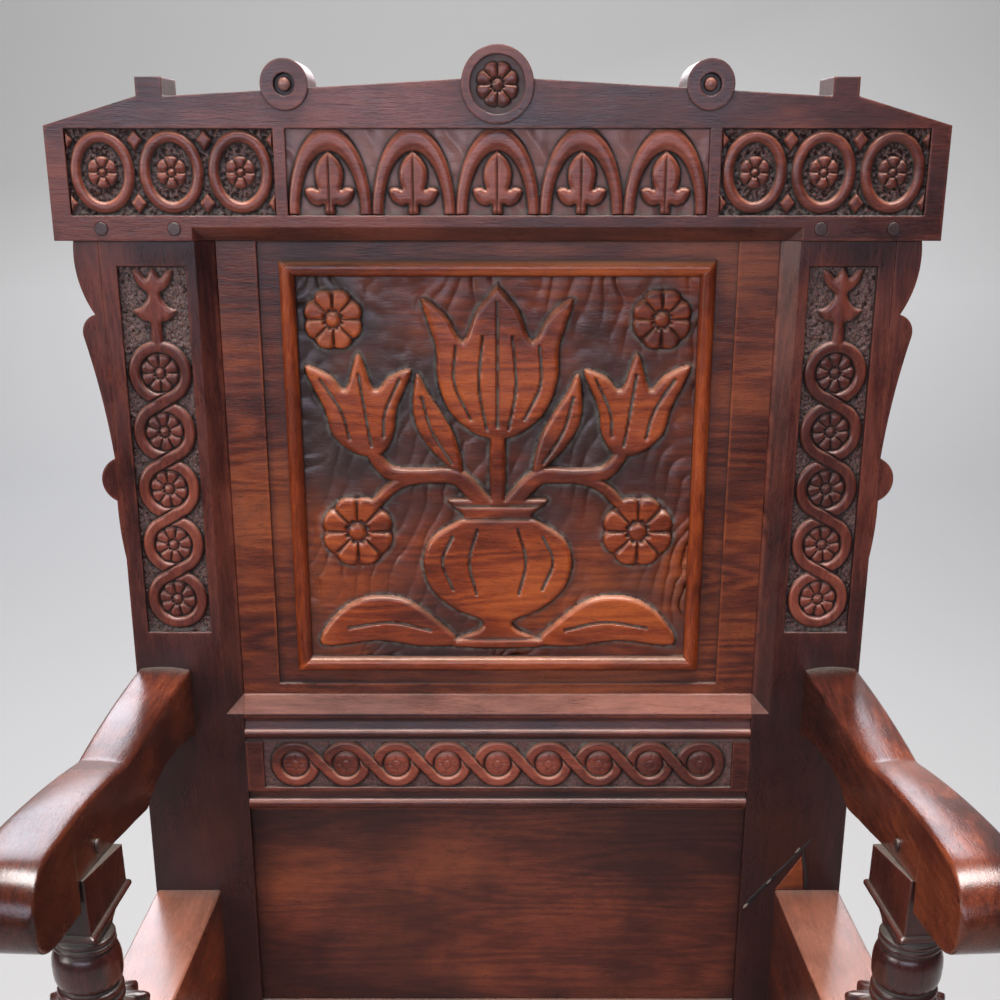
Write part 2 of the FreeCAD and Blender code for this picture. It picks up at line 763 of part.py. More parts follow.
def side_stretcher_parts():
    bar = side_bar(side_stretcher_centre, stretcher_thickness, stretcher_bottom,
                   stretcher_bottom + stretcher_height, post_width / 2)
    front_trim = block(0, 2 * stile_outer, -2 * post_forward, post_back, 0, back_top)
    bar = eased(bar, arris).cut([blank, front_trim])
    low = stretcher_bottom + shoulder
    high = stretcher_bottom + stretcher_height - shoulder
    half = stretcher_tenon_thickness / 2
    centre = side_stretcher_centre
    into_stile = (centre - half, centre + half, -shoulder, tenon_length, low, high)
    centre = centre - post_back * math.tan(splay)
    into_post = (centre - half, centre + half, post_back - tenon_length, post_back + shoulder, low, high)
    return bar.fuse([block(*into_stile), block(*into_post)]).removeSplitter(), into_stile, into_post


# Seat boards and cleats

def rail_inner_at(y_place):
    """Half the width between the side rails at a depth."""
    return side_rail_centre - side_rail_width / (2 * math.cos(splay)) - y_place * math.tan(splay)


def seat_boards():
    """Boards laid side to side, narrowed between the posts, the front one rounded over its nose."""
    back = face_depth(seat_top)
    front = -post_forward - post_width / 2 - seat_overhang
    depth = (back - front) / seat_board_count
    boards = []
    for number in range(seat_board_count):
        near = back - number * depth - seat_board_gap
        far = back - (number + 1) * depth
        corners = []
        for y_place in (near, far):
            half = rail_inner_at(max(y_place, post_back)) - seat_side_gap
            corners.append((half, y_place))
        outline = [Vector(s * half, y, front_rail_top) for s, (half, y) in
                   ((1, corners[0]), (1, corners[1]), (-1, corners[1]), (-1, corners[0]))]
        board = polygon_prism(outline, Vector(0, 0, seat_board_thickness))
        for side in (-1, 1):
            ends = sorted((side * (post_inner - seat_side_gap), side * (post_inner + post_width)))
            board = board.cut(block(ends[0], ends[1], front - overrun, post_back + seat_side_gap,
                                    0, back_top))
        if number == seat_board_count - 1:
            nose = [e for e in board.Edges
                    if abs(e.CenterOfMass.y - front) < arris and e.Length > post_inner]
            board = board.makeFillet(seat_board_thickness / 4, nose)
        boards.append(board)
    return boards


def cleat():
    """A strip under the boards, nailed to the side rail's inner face."""
    centre = side_rail_centre - side_rail_width / 2 - cleat_width / 2
    top = front_rail_top
    bar = block(centre - cleat_width / 2, centre + cleat_width / 2, post_back, -joint_gap,
                top - cleat_height, top)
    bar = splayed(bar, side_rail_centre, 0.0)
    post_space = block(0, 2 * stile_outer, -2 * post_forward, post_back, 0, back_top)
    return bar.cut([post_space, blank])


# Assembly

stile = right_stile()
arm = arm_blank().cut(blank)
arm_tenon_limits = arm_tenon()
post = at_post(post_at_origin()).cut(arm_blank())
# Only the piece below the arm belongs to the post
post = max(post.Solids, key=lambda solid: solid.Volume)
post = post.fuse(tenon_into_arm(arm, post_tenon, arm_post_tenon_height)).removeSplitter()
post_mortise = tuple(side + (joint_gap if number % 2 else -joint_gap)
                     for number, side in enumerate(post_tenon))
arm = arm.cut(tenon_into_arm(arm, post_mortise, arm_post_tenon_height + mortise_relief))
arm = arm.fuse(block(*arm_tenon_limits)).removeSplitter()

rail = side_rail()
rail_into_stile, rail_into_post = side_tenons()
rail = rail.fuse([block(*rail_into_stile), block(*rail_into_post)]).removeSplitter()
front_rail, front_rail_tenon = front_bar(front_rail_top - front_rail_height, front_rail_height,
                                         front_rail_thickness, front_rail_front, tenon_thickness)
front_stretcher, front_stretcher_tenon = front_bar(stretcher_bottom, stretcher_height, stretcher_thickness,
                                                   front_rail_front, stretcher_tenon_thickness)
rear_stretcher, rear_stretcher_tenon = rear_stretcher_parts()
side_stretcher, stretcher_into_stile, stretcher_into_post = side_stretcher_parts()

stile = stile.cut([lean(grown(*middle_tenon, "x")), grown(*lower_tenon, "x"),
                   grown(*arm_tenon_limits, "y"), grown(*rail_into_stile, "y"),
                   grown(*rear_stretcher_tenon, "x"), grown(*stretcher_into_stile, "y")])
post = post.cut([grown(*rail_into_post, "y"), grown(*front_rail_tenon, "x"),
                 grown(*front_stretcher_tenon, "x"), grown(*stretcher_into_post, "y")])

# Pegs pass through the wood and the tenon inside it
crest_rail = crest()
middle = with_both_tenons(middle_rail(), middle_tenon)


def arm_pegs(radius):
    """One peg from the inner side through the post's tenon in the arm."""
    height = arm_underside_at_post() + arm_peg_rise
    inner = arm_centre + (post_forward + arm_back) * math.tan(splay) - arm_width / 2
    start = Vector(inner - peg_proud, -post_forward, height)
    return [cylinder(radius, peg_length + peg_proud, start, Vector(1, 0, 0))]


hole_radius = peg_radius + joint_gap / 2
crest_hole_radius = crest_peg_radius + joint_gap / 2
crest_holes = [lean(crest_peg_cylinder(x, crest_hole_radius)) for x in crest_peg_places()]
crest_rail_leaned = lean(crest_rail).cut(crest_holes)
stem_seat = -crest_proud - roundel_proud + small_roundel_hollow
stem_holes = [lean(cylinder(button_stem_radius + joint_gap / 2, button_stem_length + mortise_relief,
                            Vector(side * small_roundel_place, stem_seat, back_top + roundel_rise),
                            Vector(0, 1, 0))) for side in (-1, 1)]
crest_rail_leaned = crest_rail_leaned.cut(stem_holes)
stile = stile.cut(crest_holes[2:])
post = post.cut(arm_pegs(hole_radius))
arm = arm.cut(arm_pegs(hole_radius))


def both_sides(shapes):
    return Part.makeCompound(shapes + [mirrored(s) for s in shapes])


crest_pegs = [lean(crest_peg_cylinder(x, crest_peg_radius)) for x in crest_peg_places()]
nodes = {
    "stile_right": stile,
    "stile_left": mirrored(stile),
    "ear_right": lean(right_ear()),
    "ear_left": mirrored(lean(right_ear())),
    "crest_rail": crest_rail_leaned,
    "crest_button_left": lean(crest_button(-1)),
    "crest_button_right": lean(crest_button(1)),
    "middle_rail": lean(middle),
    "upper_panel": lean(upper_panel()),
    "lower_panel": lean(lower_panel()),
    "lower_back_rail": lower_back_rail(),
    "arm_right": arm,
    "arm_left": mirrored(arm),
    "front_post_right": post,
    "front_post_left": mirrored(post),
    "side_rail_right": rail,
    "side_rail_left": mirrored(rail),
    "front_rail": front_rail,
    "cleat_right": cleat(),
    "cleat_left": mirrored(cleat()),
    "front_stretcher": front_stretcher,
    "rear_stretcher": rear_stretcher,
    "side_stretcher_right": side_stretcher,
    "side_stretcher_left": mirrored(side_stretcher),
    "crest_pegs": Part.makeCompound(crest_pegs),
    "arm_pegs": both_sides(arm_pegs(peg_radius)),
}
for side in ("top", "bottom", "left", "right"):
    nodes["panel_moulding_" + side] = lean(moulding(side))
for number, board in enumerate(seat_boards()):
    nodes["seat_board_" + ("rear", "middle", "front")[number]] = board

# The origin is on the floor under the middle of the whole chair
arm_reach = arm.BoundBox.YMin
crest_reach = nodes["crest_rail"].BoundBox.YMax
to_middle = Vector(0, -(arm_reach + crest_reach) / 2, 0)
for name, shape in nodes.items():
    placed = shape.copy()
    placed.translate(to_middle)
    print(name, len(placed.Solids), placed.isValid(), round(placed.Volume / 1000, 1))
    placed.exportStep("parts/" + name + ".step")
print("moved along Y by", round(to_middle.y, 3))
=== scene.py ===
# %% [markdown]
# # A joined oak armchair, dressed for the studio
# The solids come ready made: rails, stiles, panels, arms and posts in their true places. This script
# carves boards into the sunk places, rounds the arms and posts as a hand would, and gives every
# surface its varnished wood.

# %% Load the chair
import bpy
from math import atan2, cos, pi, radians, sin, sqrt, tan
import numpy as np
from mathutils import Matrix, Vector


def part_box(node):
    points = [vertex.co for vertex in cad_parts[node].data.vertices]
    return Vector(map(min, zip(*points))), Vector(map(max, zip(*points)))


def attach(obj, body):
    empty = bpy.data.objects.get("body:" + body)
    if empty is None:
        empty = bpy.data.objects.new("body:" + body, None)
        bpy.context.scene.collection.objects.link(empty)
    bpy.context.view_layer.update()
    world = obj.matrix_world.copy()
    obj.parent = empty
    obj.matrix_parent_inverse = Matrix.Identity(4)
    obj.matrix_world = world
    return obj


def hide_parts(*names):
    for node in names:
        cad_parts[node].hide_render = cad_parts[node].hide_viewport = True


def in_short(numbers):
    return tuple(round(v, 4) for v in numbers)


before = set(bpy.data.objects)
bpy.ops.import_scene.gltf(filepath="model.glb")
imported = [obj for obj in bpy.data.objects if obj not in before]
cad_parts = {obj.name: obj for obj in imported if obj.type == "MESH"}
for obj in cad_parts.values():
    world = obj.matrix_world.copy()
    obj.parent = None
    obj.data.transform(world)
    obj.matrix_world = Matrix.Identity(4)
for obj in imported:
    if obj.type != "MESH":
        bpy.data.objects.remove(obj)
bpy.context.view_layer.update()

# %% [markdown]
# ## Where things are on the leaning back
# The back was drawn upright and then leaned about the seat line. A carved board is drawn upright too,
# in millimetres, and one function leans the drawing: it turns (depth, rise above the seat) by the
# rake angle and converts to metres.

# %% The leaning drawing
SEAT = 400.0
RAKE_DEGREES = 4.3
RAKE = radians(RAKE_DEGREES)
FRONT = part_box("stile_right")[0][1]


def joined(*parts):
    """Points from their coordinates, each a number or an array of numbers."""
    return np.stack(np.broadcast_arrays(*parts), axis=-1)


def in_metres(points):
    """Places in the room from millimetres on the drawing, whose depth starts at the stiles' face."""
    return points / 1000 + np.array([0.0, FRONT, 0.0])


def on_back(across, depth, height):
    """Places on the leaning back. y = depth cos r + rise sin r, and z = seat + rise cos r - depth sin r."""
    rise = height - SEAT
    y = depth * cos(RAKE) + rise * sin(RAKE)
    z = SEAT + rise * cos(RAKE) - depth * sin(RAKE)
    return in_metres(joined(across, y, z))


print("stile face at", round(FRONT, 4), "m, back leans", RAKE_DEGREES, "degrees")

# %% [markdown]
# ## The camera
# The picture was taken from a little above the crest, looking down at the seat, with the lens's
# axis low in the frame. A camera with a vertical shift gives the same upright lines.

# %% Camera
CAMERA_AWAY, CAMERA_HEIGHT = 1.1776, 1.2391
LOOK_DOWN = 25.31

camera_data = bpy.data.cameras.new("camera")
camera_data.sensor_width = 36.0
camera_data.lens = 54.306
camera_data.shift_x = 0.00025
camera_data.shift_y = 0.2389
camera = bpy.data.objects.new("camera", camera_data)
camera.location = (0.0017, FRONT - CAMERA_AWAY, CAMERA_HEIGHT)
camera.rotation_euler = (radians(90 - LOOK_DOWN), 0, 0)
bpy.context.collection.objects.link(camera)
bpy.context.scene.camera = camera
print("camera at", in_short(camera.location))

# %% [markdown]
# ## From arrays to meshes
# Every new piece is a grid of points computed at once with numpy. Small makers turn grids into closed
# meshes: one gives any points and faces to Blender and turns them outwards, one closes a carved front
# with edges and a flat back, and one closes a run of rings with two end caps.

# %% Mesh makers
LAYERS = ("hollow", "raised", "ground", "dust")


def outward(points, faces):
    """Turns all faces round if the closed shape's signed volume, a sum of tetrahedra, is negative."""
    volume = 0.0
    for block in faces:
        corners = points[np.asarray(block)]
        first = corners[:, :1]
        volume += np.sum(np.cross(corners[:, 1:-1] - first, corners[:, 2:] - first) * first)
    return [np.asarray(block)[:, ::-1] if volume < 0 else np.asarray(block) for block in faces]


def new_piece(name, points, faces):
    """A smooth mesh from points and lists of corners, in an object of the same name."""
    mesh = bpy.data.meshes.new(name)
    mesh.from_pydata(points, [], faces)
    mesh.polygons.foreach_set("use_smooth", np.ones(len(mesh.polygons), dtype=bool))
    piece = bpy.data.objects.new(name, mesh)
    bpy.context.collection.objects.link(piece)
    return piece


def make_piece(name, points, faces, smooth_angle=40.0, layers=()):
    """Gives blocks of equal-sided faces to Blender. Edges sharper than the angle stay crisp. Layers of
    numbers, one for each point, are kept in the mesh for the finishes."""
    faces = outward(points, faces)
    piece = new_piece(name, points, [row for block in faces for row in block.tolist()])
    piece.data.set_sharp_from_angle(angle=radians(smooth_angle))
    for key, numbers in zip(LAYERS, layers):
        layer = piece.data.attributes.new(key, "FLOAT", "POINT")
        layer.data.foreach_set("value", np.asarray(numbers, dtype=np.float32).ravel())
    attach(piece, "root")
    print(name, len(points), "points")
    return piece


def grid_faces(rows, columns, closed=False):
    """Four-sided faces between the neighbours of a grid, whose columns may join up in a ring."""
    index = np.arange(rows * columns).reshape(rows, columns)
    right = np.roll(index, -1, axis=1)
    last = columns if closed else columns - 1
    quads = joined(index[:-1], right[:-1], right[1:], index[1:])[:, :last]
    return quads.reshape(-1, 4)


def carved_board(name, gx, gz, depth, back, layers):
    """A board whose front is carved: the grid (gx, gz) at a depth each, walls round it and a flat back."""
    index = np.arange(gx.size).reshape(gx.shape)
    rim = np.concatenate([index[:-1, 0], index[-1, :-1], index[:0:-1, -1], index[0, :0:-1]])
    front = on_back(gx, depth, gz).reshape(-1, 3)
    rear = on_back(gx.ravel()[rim], back, gz.ravel()[rim])
    back_index = gx.size + np.arange(len(rim))
    walls = joined(rim, back_index, np.roll(back_index, -1), np.roll(rim, -1))
    layers = [np.concatenate([np.ravel(layer), np.ravel(layer)[rim]]) for layer in layers]
    faces = [grid_faces(*gx.shape), walls, back_index[None, :]]
    return make_piece(name, np.concatenate([front, rear]), faces, layers=layers)


def ring_faces(rows, columns):
    """The faces of closed rings that follow each other, with a flat cap at each end."""
    cap = np.arange(columns)[None, :]
    return [grid_faces(rows, columns, closed=True), cap[:, ::-1], (rows - 1) * columns + cap]


def ringed_solid(name, rings, smooth_angle=40.0, layers=()):
    """A solid from closed rings."""
    return make_piece(name, rings.reshape(-1, 3), ring_faces(*rings.shape[:2]), smooth_angle, layers)


# %% [markdown]
# ## Carving as a height map
# A carver lowers the ground round a motif and rounds its edges. Here each motif gives the distance
# from its edge, inwards positive, and one rule turns distance into height. The largest height wins
# where motifs meet, and a dip beside a band makes it seem to pass over. The recesses in the solids are
# four deep: a board's back lies a hair before its recess's floor, and a slit parts it from the walls.

# %% Carving tools
SLIT = 0.05
INSET = 3.98


def rounded(inside, reach):
    """Height 0 to 1 from the distance inside an edge: a quarter round that ends after a reach."""
    share = np.clip(inside / reach, 0, 1)
    return np.sqrt(1 - (1 - share) ** 2)


def eased(value, low, high):
    """0 below low, 1 above high, and a smooth cubic between."""
    share = np.clip((value - low) / (high - low), 0, 1)
    return share * share * (3 - 2 * share)


def from_segment(x, z, start, end):
    """Distance from a straight line between two points, and the share of its length passed."""
    run = np.subtract(end, start)
    share = ((x - start[0]) * run[0] + (z - start[1]) * run[1]) / (run @ run)
    held = np.clip(share, 0, 1)
    return np.hypot(x - start[0] - held * run[0], z - start[1] - held * run[1]), share


def smooth_path(points, count, closed=False):
    """More points along a curve through the given ones: a cubic that leaves each towards the next."""
    points = np.asarray(points, dtype=float)
    if closed:
        points = np.concatenate([points[-1:], points, points[:2]])
    else:
        points = np.concatenate([2 * points[:1] - points[1:2], points, 2 * points[-1:] - points[-2:-1]])
    t = np.linspace(0, 1, count, endpoint=False)[None, :, None]
    a, b, c, d = (points[k:len(points) - 3 + k][:, None, :] for k in range(4))
    bend, twist = 2 * a - 5 * b + 4 * c - d, 3 * b - a - 3 * c + d
    curve = 0.5 * (2 * b + (c - a) * t + bend * t ** 2 + twist * t ** 3)
    curve = curve.reshape(-1, points.shape[1])
    return curve if closed else np.concatenate([curve, points[-2:-1]])


def inside_outline(x, z, outline):
    """Distance to a closed outline, positive inside it: where a ray crosses it an odd number of times."""
    nearest = np.full(np.shape(x), 1e9)
    crossed = np.zeros(np.shape(x), dtype=bool)
    for start, end in zip(outline, np.roll(outline, -1, axis=0)):
        nearest = np.minimum(nearest, from_segment(x, z, start, end)[0])
        if start[1] != end[1]:
            at = start[0] + (z - start[1]) * (end[0] - start[0]) / (end[1] - start[1])
            crossed ^= ((start[1] > z) != (end[1] > z)) & (x < at)
    return np.where(crossed, nearest, -nearest)


def inside_stroke(x, z, path, widths):
    """Distance inside a stroke whose half width changes along a path of points."""
    best = np.full(np.shape(x), -1e9)
    for start, end, w0, w1 in zip(path[:-1], path[1:], widths[:-1], widths[1:]):
        distance, share = from_segment(x, z, start, end)
        best = np.maximum(best, w0 + np.clip(share, 0, 1) * (w1 - w0) - distance)
    return best


def closed_curve(points, count=4, mirror=False):
    """A closed outline through points, or through a right half from the bottom up and its mirror image."""
    points = np.asarray(points, dtype=float)
    if mirror:
        points = np.concatenate([points, (points * [-1, 1])[::-1]])
    return smooth_path(points, count, closed=True)


def softened(field, reach):
    """The field averaged over a square of 2 reach + 1 cells, twice, by differences of running sums."""
    size = 2 * reach + 1
    for axis in (0, 1, 0, 1):
        wide = np.pad(field, [(reach + 1, reach) if k == axis else (0, 0) for k in (0, 1)], mode="edge")
        total = np.cumsum(wide, axis=axis)
        low = np.arange(field.shape[axis])
        field = (np.take(total, low + size, axis=axis) - np.take(total, low, axis=axis)) / size
    return field


def hollowness(depth, cell):
    """0 to 1 where a place lies deeper than what is round it, which is where polish and dust gather."""
    near, wide = (depth - softened(depth, max(1, round(reach / cell))) for reach in (1.2, 4.0))
    return np.clip(0.9 * near + 0.35 * wide, 0, 1)


def bare_ground(height):
    """1 where nothing of the motif stands, and a soft change at the motif's foot."""
    return 1 - eased(height, 0.02, 0.2)


def fine_grid(low, high, foot, top, cell):
    """Grids of the places across and up a field, a cell apart."""
    return np.meshgrid(np.arange(low + SLIT, high, cell), np.arange(foot + SLIT, top, cell), indexing="ij")


def rosette(x, z, radius, petals=8, turn=0.0):
    """Height of a flower: broad petals in a ring about a domed boss with a raised tip.
    A petal fills its share of the turn, falls to a groove beside it and ends in a bow."""
    petal_middle, petal_half, boss_radius, tip_radius = 0.67, 0.33, 0.27, 0.09
    r = np.hypot(x, z) / radius
    step = 2 * pi / petals
    angle = np.arctan2(z, x) - turn
    angle = angle - step * np.round(angle / step)
    beside = np.abs(angle) / (0.5 * step) * 1.05
    along = (r * np.cos(angle) - petal_middle) / petal_half + 0.50 * beside ** 2
    petal = np.sqrt(np.clip(1 - along ** 4, 0, 1) * np.clip(1 - beside ** 3, 0, 1))
    boss = np.sqrt(np.clip(1 - (r / boss_radius) ** 2, 0, 1))
    tip = 0.25 * np.exp(-(r / tip_radius) ** 2)
    return np.maximum(0.85 * petal, 0.72 * boss + tip)


def guilloche(across, along, centres, radius, half, lean):
    """Height of a chain of rings joined by slanting bands.
    A ring is the places within half a width of a circle. A band lies along the line that touches two
    neighbouring circles on opposite sides. It covers the rings, which dip beside it."""
    rings, bands, beside = (np.zeros(np.shape(across)) for _ in range(3))
    shoulder = 0.62 * half
    for centre in centres:
        distance = np.abs(np.hypot(across, along - centre) - radius)
        rings = np.maximum(rings, rounded(half - distance, shoulder))
    for low, high in zip(centres[:-1], centres[1:]):
        gap = high - low
        sine = 2 * radius / gap
        run = np.array([lean * sine, sqrt(1 - sine * sine)])
        reach = sqrt(gap * gap / 4 - radius * radius)
        middle = np.array([0.0, (low + high) / 2])
        distance, share = from_segment(across, along, middle - run * reach, middle + run * reach)
        bands = np.maximum(bands, rounded(half - distance, shoulder))
        between = eased(share, -0.02, 0.08) * eased(1 - share, -0.02, 0.08)
        line = np.abs((across - middle[0]) * run[1] - (along - middle[1]) * run[0])
        beside = np.maximum(beside, between * (1 - eased(line - half, 0.2, 2.2)) * (line > half * 0.9))
    return np.maximum(rings * (1 - 0.75 * beside), bands)


# %% [markdown]
# ## Stiles: rings, flowers and a tulip
# Each stile has a sunk strip with five rings, an eight-petalled flower in each, and a tulip above.
# The strip is drawn in its own millimetres and set into the recess. The slanting bands mirror each
# other on the two stiles.

# %% Stile strips
STRIP_LOW, STRIP_HIGH = 770.8, 1070.3
STRIP_MIDDLE, STRIP_HALF = 271.8, 27.0
RING_PLACES = np.array([799.8, 846.8, 893.8, 940.8, 987.8])
RING_RADIUS, RING_HALF, FLOWER_RADIUS, TULIP_FOOT = 20.6, 4.7, 15.4, 1011.6
TULIP = closed_curve([
    (4.7, -3), (4.7, 8), (4.8, 15.5), (9.5, 17), (13.8, 20), (17.5, 25), (11.5, 27.2), (7.8, 31), (5.8, 34.5),
    (5.6, 38.5), (11, 43), (14.8, 50), (15.6, 55.6), (10.5, 54.6), (5.8, 49.6), (3.2, 53.6), (0.2, 57.2)],
    count=3, mirror=True)


def stile_strip(name, side):
    """The carved strip of one stile. Side is +1 on the right."""
    cell = 0.62
    gx, gz = fine_grid(-STRIP_HALF, STRIP_HALF - SLIT, STRIP_LOW, STRIP_HIGH - SLIT, cell)
    flowers = np.zeros(gx.shape)
    for number, place in enumerate(RING_PLACES):
        flower = rosette(gx, gz - place, FLOWER_RADIUS, turn=0.35 * number + 0.2 * side)
        flowers = np.maximum(flowers, flower)
    ridge = 0.78 + 0.22 * np.exp(-(gx / 4.5) ** 2)
    tulip = rounded(inside_outline(gx, gz - TULIP_FOOT, TULIP), 3.4) * ridge
    rings = guilloche(gx, gz, RING_PLACES, RING_RADIUS, RING_HALF, -side)
    height = np.maximum.reduce([rings, 0.92 * flowers, tulip])
    ground = bare_ground(height)
    grain = np.random.default_rng(5 + side).normal(size=gx.shape)
    lumps = softened(grain, 1) * ground
    depth = 3.6 - 3.5 * height + 0.45 * lumps + 0.12 * softened(grain, 4) * (1 - ground)
    dust = ground * (0.12 + 0.8 * (1 - eased(gz - STRIP_LOW, 1.0, 6.0)))
    layers = [hollowness(depth, cell), height, ground, dust]
    return carved_board(name, side * STRIP_MIDDLE + gx, gz, depth, INSET, layers)


stile_carvings = [stile_strip("stile_carving_right", 1), stile_strip("stile_carving_left", -1)]

# %% [markdown]
# ## Middle rail: a lying guilloche with domed bosses
# The rail repeats the chain of rings on its side. Here each ring holds a turned-looking dome, cut
# with a cross and a small ring at its crown, and the end blocks of the band stay plain.

# %% Middle rail carving
RAIL_MIDDLE, RAIL_HALF_HEIGHT, RAIL_HALF_LENGTH = 648.7, 21.7, 207.0
BOSS_PLACES = 44.8 * np.arange(-4, 5)
CHAIN_RADIUS, CHAIN_HALF, BOSS_RADIUS = 16.9, 4.6, 11.8


def boss(x, z, radius, turn):
    """Height of a dome with four shallow cuts and a ring cut round its crown."""
    r = np.hypot(x, z) / radius
    angle = np.arctan2(z, x) + turn
    dome = np.sqrt(np.clip(1 - r ** 2, 0, 1)) ** 0.8
    cross = np.exp(-(np.sin(2 * angle) * r * radius / 1.1) ** 2) * (r > 0.36)
    crown = np.exp(-((r - 0.34) / 0.06) ** 2)
    return dome * (1 - 0.16 * cross - 0.16 * crown)


def rail_band():
    """The carved band of the middle rail."""
    cell = 0.66
    low, high = RAIL_MIDDLE - RAIL_HALF_HEIGHT, RAIL_MIDDLE + RAIL_HALF_HEIGHT
    gx, gz = fine_grid(-RAIL_HALF_LENGTH, RAIL_HALF_LENGTH, low, high, cell)
    up = gz - RAIL_MIDDLE
    height = guilloche(up, gx, BOSS_PLACES, CHAIN_RADIUS, CHAIN_HALF, -1)
    for number, place in enumerate(BOSS_PLACES):
        height = np.maximum(height, 0.95 * boss(gx - place, up, BOSS_RADIUS, 0.3 * sin(3 * number)))
    ground = bare_ground(height)
    grain = np.random.default_rng(11).normal(size=gx.shape)
    depth = 3.5 - 3.3 * height + 0.25 * softened(grain, 1) * ground + 0.15 * softened(grain, 4)
    soft = softened(depth, 2)
    low_side = eased(soft - np.roll(soft, 4, axis=1), 0.25, 0.9)
    dust = 0.8 * low_side * (height < 0.6) + 0.12 * ground
    layers = [hollowness(depth, cell), height, 0.7 * ground, dust]
    return carved_board("middle_rail_carving", gx, gz, depth, INSET, layers)


rail_carving = rail_band()

# %% [markdown]
# ## Crest: three sunk fields and a flower
# The crest's long band is cut into three by two upright bars. The end fields have a punched ground
# and carry thick ovals. The middle one has a ground of faint gouge marks and a row of arches with
# leaves, an old joiners' pattern. A flower fills the roundel above, and two buttons the small ones.

# %% Crest carvings
CREST_LOW, CREST_HIGH, CREST_FACE = 1108.0, 1170.5, -6.0
ROUNDEL_HEIGHT, ROUNDEL_FACE, ROUNDEL_RADIUS = 1201.1, -8.0, 20.4
LEAF = closed_curve([
    (3.6, 1), (4.2, 8), (9, 7), (15.5, 10), (19.0, 18), (13.5, 20.5), (9.0, 19), (10.5, 25), (10.6, 33), (6.5, 41),
    (0.2, 46.5)], count=3, mirror=True)
BUTTON = ((3.0, -1.9), (4.2, -2.1), (4.4, -3.0), (5.0, -4.2), (5.1, -5.2), (4.6, -6.6), (3.4, -7.7), (1.8, -8.3),
          (0.3, -8.5))


def spaced(x, count, pitch):
    """The distances across from each of a row of places about the middle."""
    return [x - pitch * (number - (count - 1) / 2) for number in range(count)]


def lunettes(x, z, count, pitch, rise):
    """Height of a row of arches on one foot line, each with a three-lobed leaf inside."""
    height = np.zeros(x.shape)
    half = 4.4
    radius = 0.5 * pitch - half
    for px in spaced(x, count, pitch):
        arch = rounded(half - np.abs(np.hypot(px, z * radius / (rise - half)) - radius), 3.6)
        vein = 1 - 0.30 * np.exp(-(px / 0.8) ** 2)
        height = np.maximum.reduce([height, arch, rounded(inside_outline(px, z, LEAF), 4.2) * vein])
    return height


def ovals(x, z, count, pitch, rise):
    """Height of a row of thick upright ovals, each about a flower, with small lozenges between."""
    height = np.zeros(x.shape)
    pz = z - rise / 2
    wide, tall, half = pitch / 2 - 6.0, rise / 2 - 5.6, 4.3
    lozenge_foot, lozenge_half = 8.5, 6.0
    for px in spaced(x, count, pitch):
        r = np.hypot(px / wide, pz / tall)
        slope = np.hypot(px / wide ** 2, pz / tall ** 2) / np.maximum(r, 0.05)
        oval = rounded(half - np.abs(r - 1) / slope, 3.6)
        height = np.maximum.reduce([height, oval, 0.9 * rosette(px, pz, 11.5, petals=6, turn=0.5)])
    for px in spaced(x, count + 1, pitch):
        for level in (lozenge_foot, rise - lozenge_foot):
            height = np.maximum(height, rounded(lozenge_half - np.abs(px) - 0.8 * np.abs(z - level), 2.4))
    return height


def crest_field(name, low, high, kind, seed):
    """One sunk field of the crest between two places across."""
    cell = 0.66
    gx, gz = fine_grid(low, high - 0.04, CREST_LOW, CREST_HIGH - 0.04, cell)
    across, up = gx - (low + high) / 2, gz - CREST_LOW
    rise = CREST_HIGH - CREST_LOW
    noise = np.random.default_rng(seed).normal(size=gx.shape)
    if kind == "arches":
        height = lunettes(across, up, 5, (high - low) / 5, rise - 3)
        floor = 0.13 * np.abs(np.sin(0.15 * gx + 0.08 * gz + 0.6 * (softened(noise, 12) * 18)))
    else:
        height = ovals(across, up, 3, (high - low) / 3, rise)
        floor = 0.60 * softened(noise, 1)
    ground = bare_ground(height)
    inset = np.minimum.reduce([gx - low, high - gx, up, CREST_HIGH - gz])
    height = height * eased(inset, 0.1, 1.2)
    depth = CREST_FACE + 3.7 - 3.55 * height + floor * ground + 0.12 * softened(noise, 4)
    beside = eased(softened(height, 3), 0.08, 0.30) * ground
    foot = ground * (1 - eased(up, 1.5, 7.0))
    layers = [hollowness(depth, cell), height, ground * (kind != "arches"), 0.30 * beside + 0.7 * foot]
    return carved_board(name, gx, gz, depth, CREST_FACE + INSET, layers)


def crest_flower():
    """The flower sunk in the centre roundel: a height map on a polar grid, so its rim is a true circle."""
    r = np.linspace(0.02, 1, 44)[:, None] * ROUNDEL_RADIUS
    angle = np.linspace(0, 2 * pi, 144, endpoint=False)[None, :]
    x, z = r * np.cos(angle), r * np.sin(angle)
    height = rosette(x, z, 16.2, turn=0.39)
    front = on_back(x, ROUNDEL_FACE + 3.9 - 3.1 * height, ROUNDEL_HEIGHT + z)
    skirt = on_back(x[-1:], np.full(angle.shape, ROUNDEL_FACE + 3.99), ROUNDEL_HEIGHT + z[-1:])
    raised = np.concatenate([height, np.zeros(angle.shape)])
    low = np.concatenate([np.clip(1 - 1.3 * height, 0, 1) * (r < ROUNDEL_RADIUS), np.ones(angle.shape)])
    layers = [0.6 * low, raised, 0 * raised, 0.3 * low]
    return ringed_solid("crest_flower", np.concatenate([front, skirt]), layers=layers)


